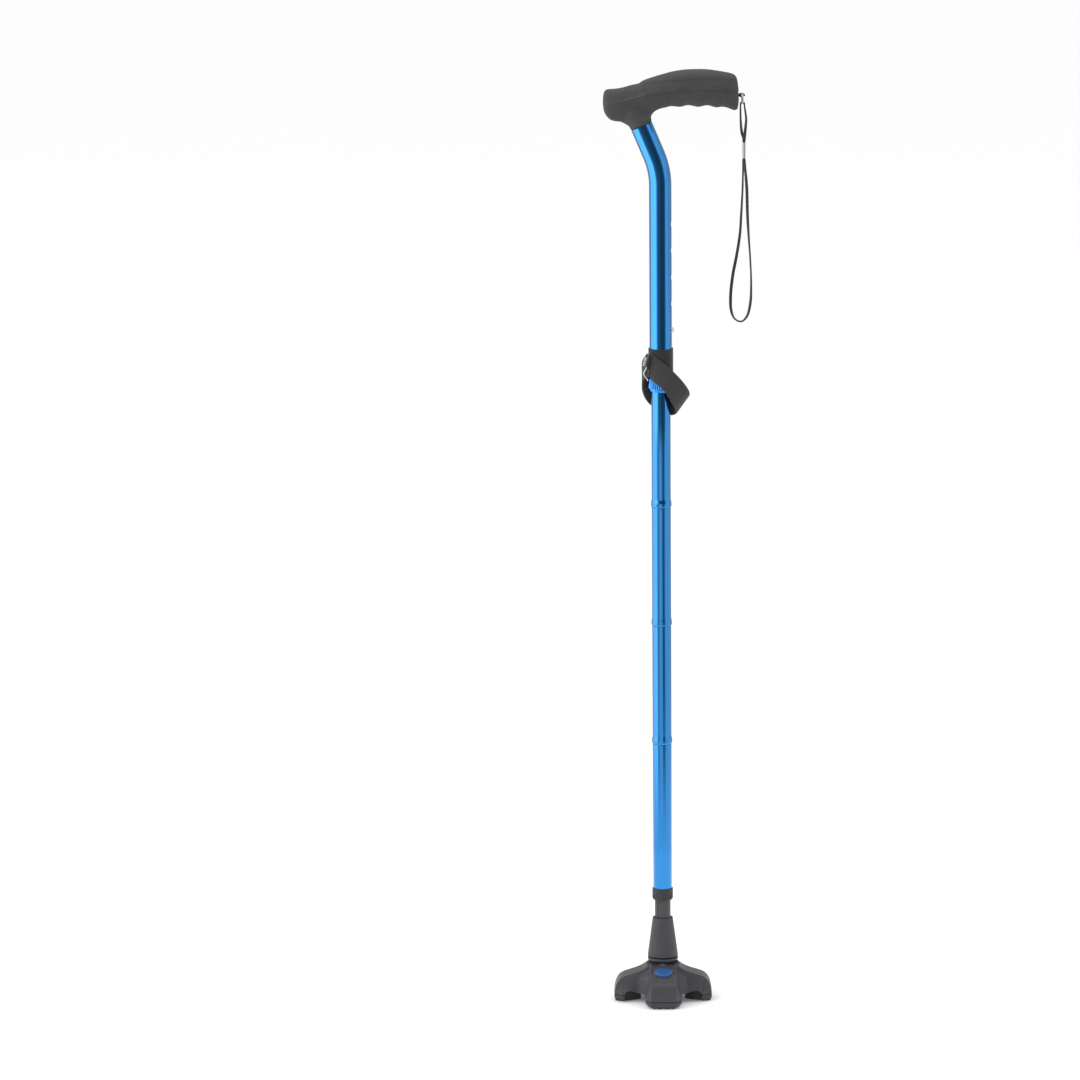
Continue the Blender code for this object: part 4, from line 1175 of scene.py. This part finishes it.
# reach from the shaft's axis, crown height of the side and back arms and of the front arm with its badge,
# crown half width, skirt half width, height of the skirt's lower edge
ARM = [
    (3.0, 36.6, 37.2, 12.5, 17.0, 9.0), (12.0, 36.4, 37.2, 12.6, 17.6, 9.0),
    (16.0, 35.4, 36.9, 12.7, 18.0, 9.0), (19.0, 33.2, 36.3, 12.8, 18.1, 9.0),
    (22.5, 31.2, 35.8, 12.9, 18.2, 9.1), (26.5, 29.6, 34.4, 12.9, 18.3, 9.6),
    (30.0, 28.4, 33.1, 12.9, 18.4, 10.9), (33.0, 27.5, 31.9, 12.9, 18.4, 11.4),
    (36.5, 26.4, 29.4, 12.9, 18.4, 10.6), (39.2, 25.4, 26.8, 12.9, 18.4, 7.3),
    (41.2, 24.4, 24.9, 12.9, 18.3, 7.3), (43.0, 23.1, 23.2, 12.8, 17.1, 7.3),
    (44.8, 21.2, 21.2, 12.8, 15.8, 7.3), (46.4, 18.6, 18.6, 12.7, 14.7, 7.3),
    (47.6, 15.4, 15.4, 12.6, 13.8, 7.3), (48.4, 11.8, 11.8, 12.4, 13.2, 7.3),
    (48.8, 8.6, 8.6, 12.3, 12.9, 7.3),
]
# the concave webs between the arms: height, half width of the arms there, greatest reach
WEB = [
    (9.2, 18.4, 31.0), (10.5, 18.2, 31.0), (16.0, 17.0, 30.5), (21.0, 15.9, 29.5), (25.0, 14.8, 28.0),
    (28.0, 13.2, 25.0), (30.6, 11.2, 21.5), (32.8, 8.6, 19.2), (34.8, 5.2, 17.8), (36.6, 1.6, 16.9),
    (37.8, -1.4, 15.9), (38.8, -3.0, 15.2), (39.3, -3.4, 14.9),
]
WEB_CENTRE = 30.9
FRONT = 3  # quarter turns from the first arm, at +X, to the front one
# what is hollow below: along the arms (across, height), under the webs and at the pivot (radius, height)
ARM_HOLLOW = [
    (-16.6, 4.0), (16.6, 4.0), (16.2, 11.0), (12.0, 18.0), (6.0, 20.5), (-6.0, 20.5), (-12.0, 18.0),
    (-16.2, 11.0),
]
WEB_HOLLOW = [(12.5, 4.0), (26.5, 4.0), (25.5, 16.0), (21.0, 24.0), (12.5, 25.0)]
PIVOT_SEAT = [(0, 45), (6.0, 45), (6.0, 37), (10.0, 32), (10.0, 1), (0, 1)]


def web_ring(height, half_width, reach):
    """A level outline round the hub: concave curves between the arms."""
    ring = []
    for turn in turns(144):
        off_arm = abs((turn + math.pi / 4) % (math.pi / 2) - math.pi / 4)
        toward = math.cos(off_arm) + math.sin(off_arm)
        fillet = WEB_CENTRE - half_width
        room = (WEB_CENTRE * toward) ** 2 - 2 * WEB_CENTRE**2 + fillet**2
        r = WEB_CENTRE * toward - math.sqrt(room) if room > 0 else reach
        r = min(r, reach) * MM
        ring.append(on_shaft(r * math.cos(turn), r * math.sin(turn), height * MM))
    return ring


def quarter_turn(quarter):
    """A function that puts a point of the first arm, in millimetres, on the arm some quarter turns on."""
    spin = Matrix.Rotation(quarter * math.pi / 2, 3, "Z")
    return lambda x, y, z: spin @ Vector((x * MM, y * MM, z * MM)) + Vector((SHAFT, 0, 0))


def mirrored(half_plan):
    """A whole outline from its half: the same points back again on the other side."""
    return half_plan + [(reach, -half) for reach, half in reversed(half_plan)]


def make_base():
    """The flexible foot's shell: four arms with flat crowns and hollow skirts round a hub, open below."""
    bm = bmesh.new()
    skin(bm, [web_ring(*row) for row in through_rows(WEB, 3)])
    for quarter in range(4):
        place = quarter_turn(quarter)
        rings = []
        for reach, side_crown, front_crown, crest, skirt, edge in through_rows(ARM, 2):
            crown = front_crown if quarter == FRONT else side_crown
            fall, flare = crown - edge, skirt - crest
            half = [(0, crown + 0.1), (crest - 0.5, crown), (crest + 0.05, crown - 0.25)]
            half += [(crest + 0.16 * flare, crown - 0.22 * fall), (crest + 0.42 * flare, crown - 0.50 * fall)]
            half += [(crest + 0.74 * flare, crown - 0.78 * fall), (skirt, edge)]
            section = [(-y, z) for y, z in reversed(half[1:])] + half
            rings.append([place(reach, y, z) for y, z in section])
        skin(bm, rings)
    remesh = ("REMESH", {"mode": "VOXEL", "voxel_size": 0.5 * MM})
    mesh = applied(bm, "base_block", remesh, ("SMOOTH", {"factor": 0.5, "iterations": 2}))
    carve_front(mesh)
    for quarter in range(2):
        place = quarter_turn(quarter)
        hollow = bmesh.new()
        skin(hollow, [[place(x, y, z) for y, z in ARM_HOLLOW] for x in (-37.6, 37.6)])
        mesh = cut_by(mesh, hollow)
    for profile, sides, closed in ((WEB_HOLLOW, ROUND, True), (PIVOT_SEAT, 64, False)):
        points = [Vector((r * MM, z * MM)) for r, z in profile]
        mesh = cut_by(mesh, lathe(bmesh.new(), points, Vector((SHAFT, 0)), sides, closed=closed))
    piece("base_moulding", mesh, FOOT_PLASTIC, "base", "foot_plastic", "base_shell", sharp=50)
    # the boss that holds the pivot, seen from below
    corners = [(10.0, 24, 0), (12.4, 24, 0), (12.4, 9.6, 0.5), (10.0, 9.6, 0.3)]
    turned("pivot_boss", corners, FOOT_PLASTIC, "base", "foot_plastic")


def soft_step(value, width):
    """0 well below zero, 1 well above it, with the change spread over the width."""
    return 1 / (1 + math.exp(max(-60, min(60, -value / width))))


def carve_front(mesh):
    """The sunk panel on the front arm's crown, and the deeper tapered recess below the badge."""
    for vertex in mesh.vertices:
        x, y, z = vertex.co.x - SHAFT, vertex.co.y, vertex.co.z
        if y > -15 * MM or abs(x) > 13 * MM or z < 20 * MM:
            continue
        across, reach = abs(x) / MM, -y / MM
        panel = soft_step(11.9 - across, 0.15) * soft_step(reach - 20.5, 0.3) * soft_step(42.0 - reach, 0.5)
        side = 8.2 - 0.60 * (reach - 34.5)
        end = 41.4 - 0.07 * across**2 - reach
        recess = soft_step(side - across, 0.15) * soft_step(reach - 34.2, 0.2) * soft_step(end, 0.2)
        vertex.co.z -= (0.5 * panel + 1.1 * recess) * MM


# plan of a toe: reach and half width
TOE = [
    (38.4, 17.8), (39.2, 18.3), (41.2, 18.2), (42.0, 17.8), (44.6, 15.9), (48.2, 13.3), (48.7, 12.8),
    (48.9, 12.0), (48.9, 6.0),
]
# height, inset of the sides, inset of the front
PAD_ROUNDING = [
    (6.9, 0.5, 0.4), (6.5, 0.05, 0.05), (5.4, 0.15, 0.0), (4.0, 0.7, 0.1), (2.8, 1.5, 0.3), (1.8, 2.5, 0.6),
    (0.9, 3.8, 1.0), (0.35, 4.9, 1.4), (0.0, 5.8, 1.9),
]
# plan of the sole block that runs in under the arm: reach and half width
SOLE = [(39.0, 11.0), (35.0, 10.2), (30.5, 8.6), (26.5, 6.2), (23.6, 3.6), (22.2, 1.4)]
TREAD_GROOVE = (16 * MM, 2.4 * MM, 2.0 * MM)


def make_pads():
    """A rubber pad under each toe, with rounded corners and tread grooves that show at its lower edge."""
    for side, quarter in (("right", 0), ("back", 1), ("left", 2), ("front", FRONT)):
        place = quarter_turn(quarter)
        rings = []
        for height, side_inset, front_inset in PAD_ROUNDING:
            half_plan = []
            for reach, half in TOE:
                corner = max(0, min(1, (half - 9) / 8))
                ahead = max(0, min(1, (reach - 40) / 8))
                pull = (front_inset + side_inset * 0.25 * corner) * ahead
                half_plan.append((reach - pull, half - side_inset * corner))
            rings.append([place(reach, half, height) for reach, half in mirrored(half_plan)])
        bm = bmesh.new()
        skin(bm, rings)
        mesh = mesh_of(bm, f"pad_{side}")
        for across in (-7.2, 0, 7.2):
            groove = bmesh.new()
            turn = Matrix.Rotation(quarter * math.pi / 2, 4, "Z")
            matrix = Matrix.Translation(place(44, across, 0)) @ turn @ Matrix.Diagonal((*TREAD_GROOVE, 1))
            bmesh.ops.create_cube(groove, size=1, matrix=matrix)
            mesh = cut_by(mesh, groove)
        bm = bmesh.new()
        bm.from_mesh(mesh)
        levels = ((10.6, 0.90), (10.2, 0.94), (5.0, 1.0), (0.8, 1.0), (0.0, 0.93))
        skin(bm, [[place(reach, half * share, z) for reach, half in mirrored(SOLE)] for z, share in levels])
        piece(f"pad_{side}", bm, PAD_RUBBER, "base", "pad_rubber", f"foot_pad_{side}")


# the badge's dome from its edge inwards: share of its size, height off the crown
BADGE_PROFILE = [
    (0.97, -2.2), (0.995, -0.9), (1.0, 0.15), (0.985, 0.42), (0.955, 0.52), (0.93, 0.52), (0.86, 0.56),
    (0.83, 0.57), (0.6, 0.72), (0.3, 0.82), (0.03, 0.85),
]


def make_badge():
    """A plain domed oval with a thin pale line round it, on the slope of the front crown."""
    low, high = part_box("badge")
    centre = (low + high) / 2
    down = Vector((0, -(high.y - low.y), -(high.z - low.z))).normalized()
    outward = down.cross(Vector((1, 0, 0)))
    wide, tall = (high.x - low.x) / 2, 6.6 * MM
    bm = bmesh.new()
    rows = []
    for share, lift in BADGE_PROFILE:
        raised = centre + outward * (lift * MM)
        right, drop = Vector((wide * share, 0, 0)), down * (tall * share)
        rows.append([raised + right * math.cos(t) + drop * math.sin(t) for t in turns(ROUND)])
    skin(bm, rows)
    for face in bm.faces:
        off_centre = face.calc_center_median() - centre
        share = math.hypot(off_centre.x / wide, off_centre.dot(down) / tall)
        face.material_index = 1 if 0.86 < share < 0.93 else 0
    piece("badge_dome", bm, [BADGE_FACE, BADGE_RIM], "base", "badge", "badge", sharp=60)


# the CAD nodes that are shown as they are
CARRIED = dict.fromkeys(("ball_retainer", "lock_collet", "handle_core", "section_a_cap"), BLACK_PLASTIC)
CARRIED.update(dict.fromkeys(("cord_anchor_lower", "cord_anchor_upper"), BLACK_PLASTIC))
CARRIED.update({"flex_bush": PAD_RUBBER, "pivot_ball_pin": STEEL, "pivot_nut": STEEL})


def finish_carried_nodes():
    """Gives the CAD nodes that stay as they are a material in each of their slots."""
    for node, material in CARRIED.items():
        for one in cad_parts[node].material_slots:
            one.material = material


def make_shock_cord():
    """The elastic cord inside the sections, in one stretch for each joint that it crosses."""
    low, high = span("shock_cord")
    joints = "cba"
    seams = [span(f"section_{letter}_tube")[0] for letter in joints]
    cuts = [low, (seams[0] + seams[1]) / 2, (seams[1] + seams[2]) / 2, high]
    count = 40
    for k, letter in enumerate(joints):
        below, above = f"shaft_{chr(ord(letter) + 1)}", f"shaft_{letter}"
        line = [on_shaft(0, 0, cuts[k] + (cuts[k + 1] - cuts[k]) * i / count) for i in range(count + 1)]
        name = f"elastic_cord_{k}"
        made = placed(mesh_of(tube_along(bmesh.new(), line, 2.0 * MM, 16, uv=True), name))
        made.data.materials.append(BRAID)
        made.data.shade_smooth()
        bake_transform(made)
        if k == 0:
            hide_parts("shock_cord")


make_camera()
make_stage()
make_sections()
make_collars()
make_upper_tube()
make_button()
make_grip()
make_eye_and_ring()
make_wrist_strap()
make_storage_strap()
make_socket()
make_stem()
make_base()
make_pads()
make_badge()
make_shock_cord()
finish_carried_nodes()
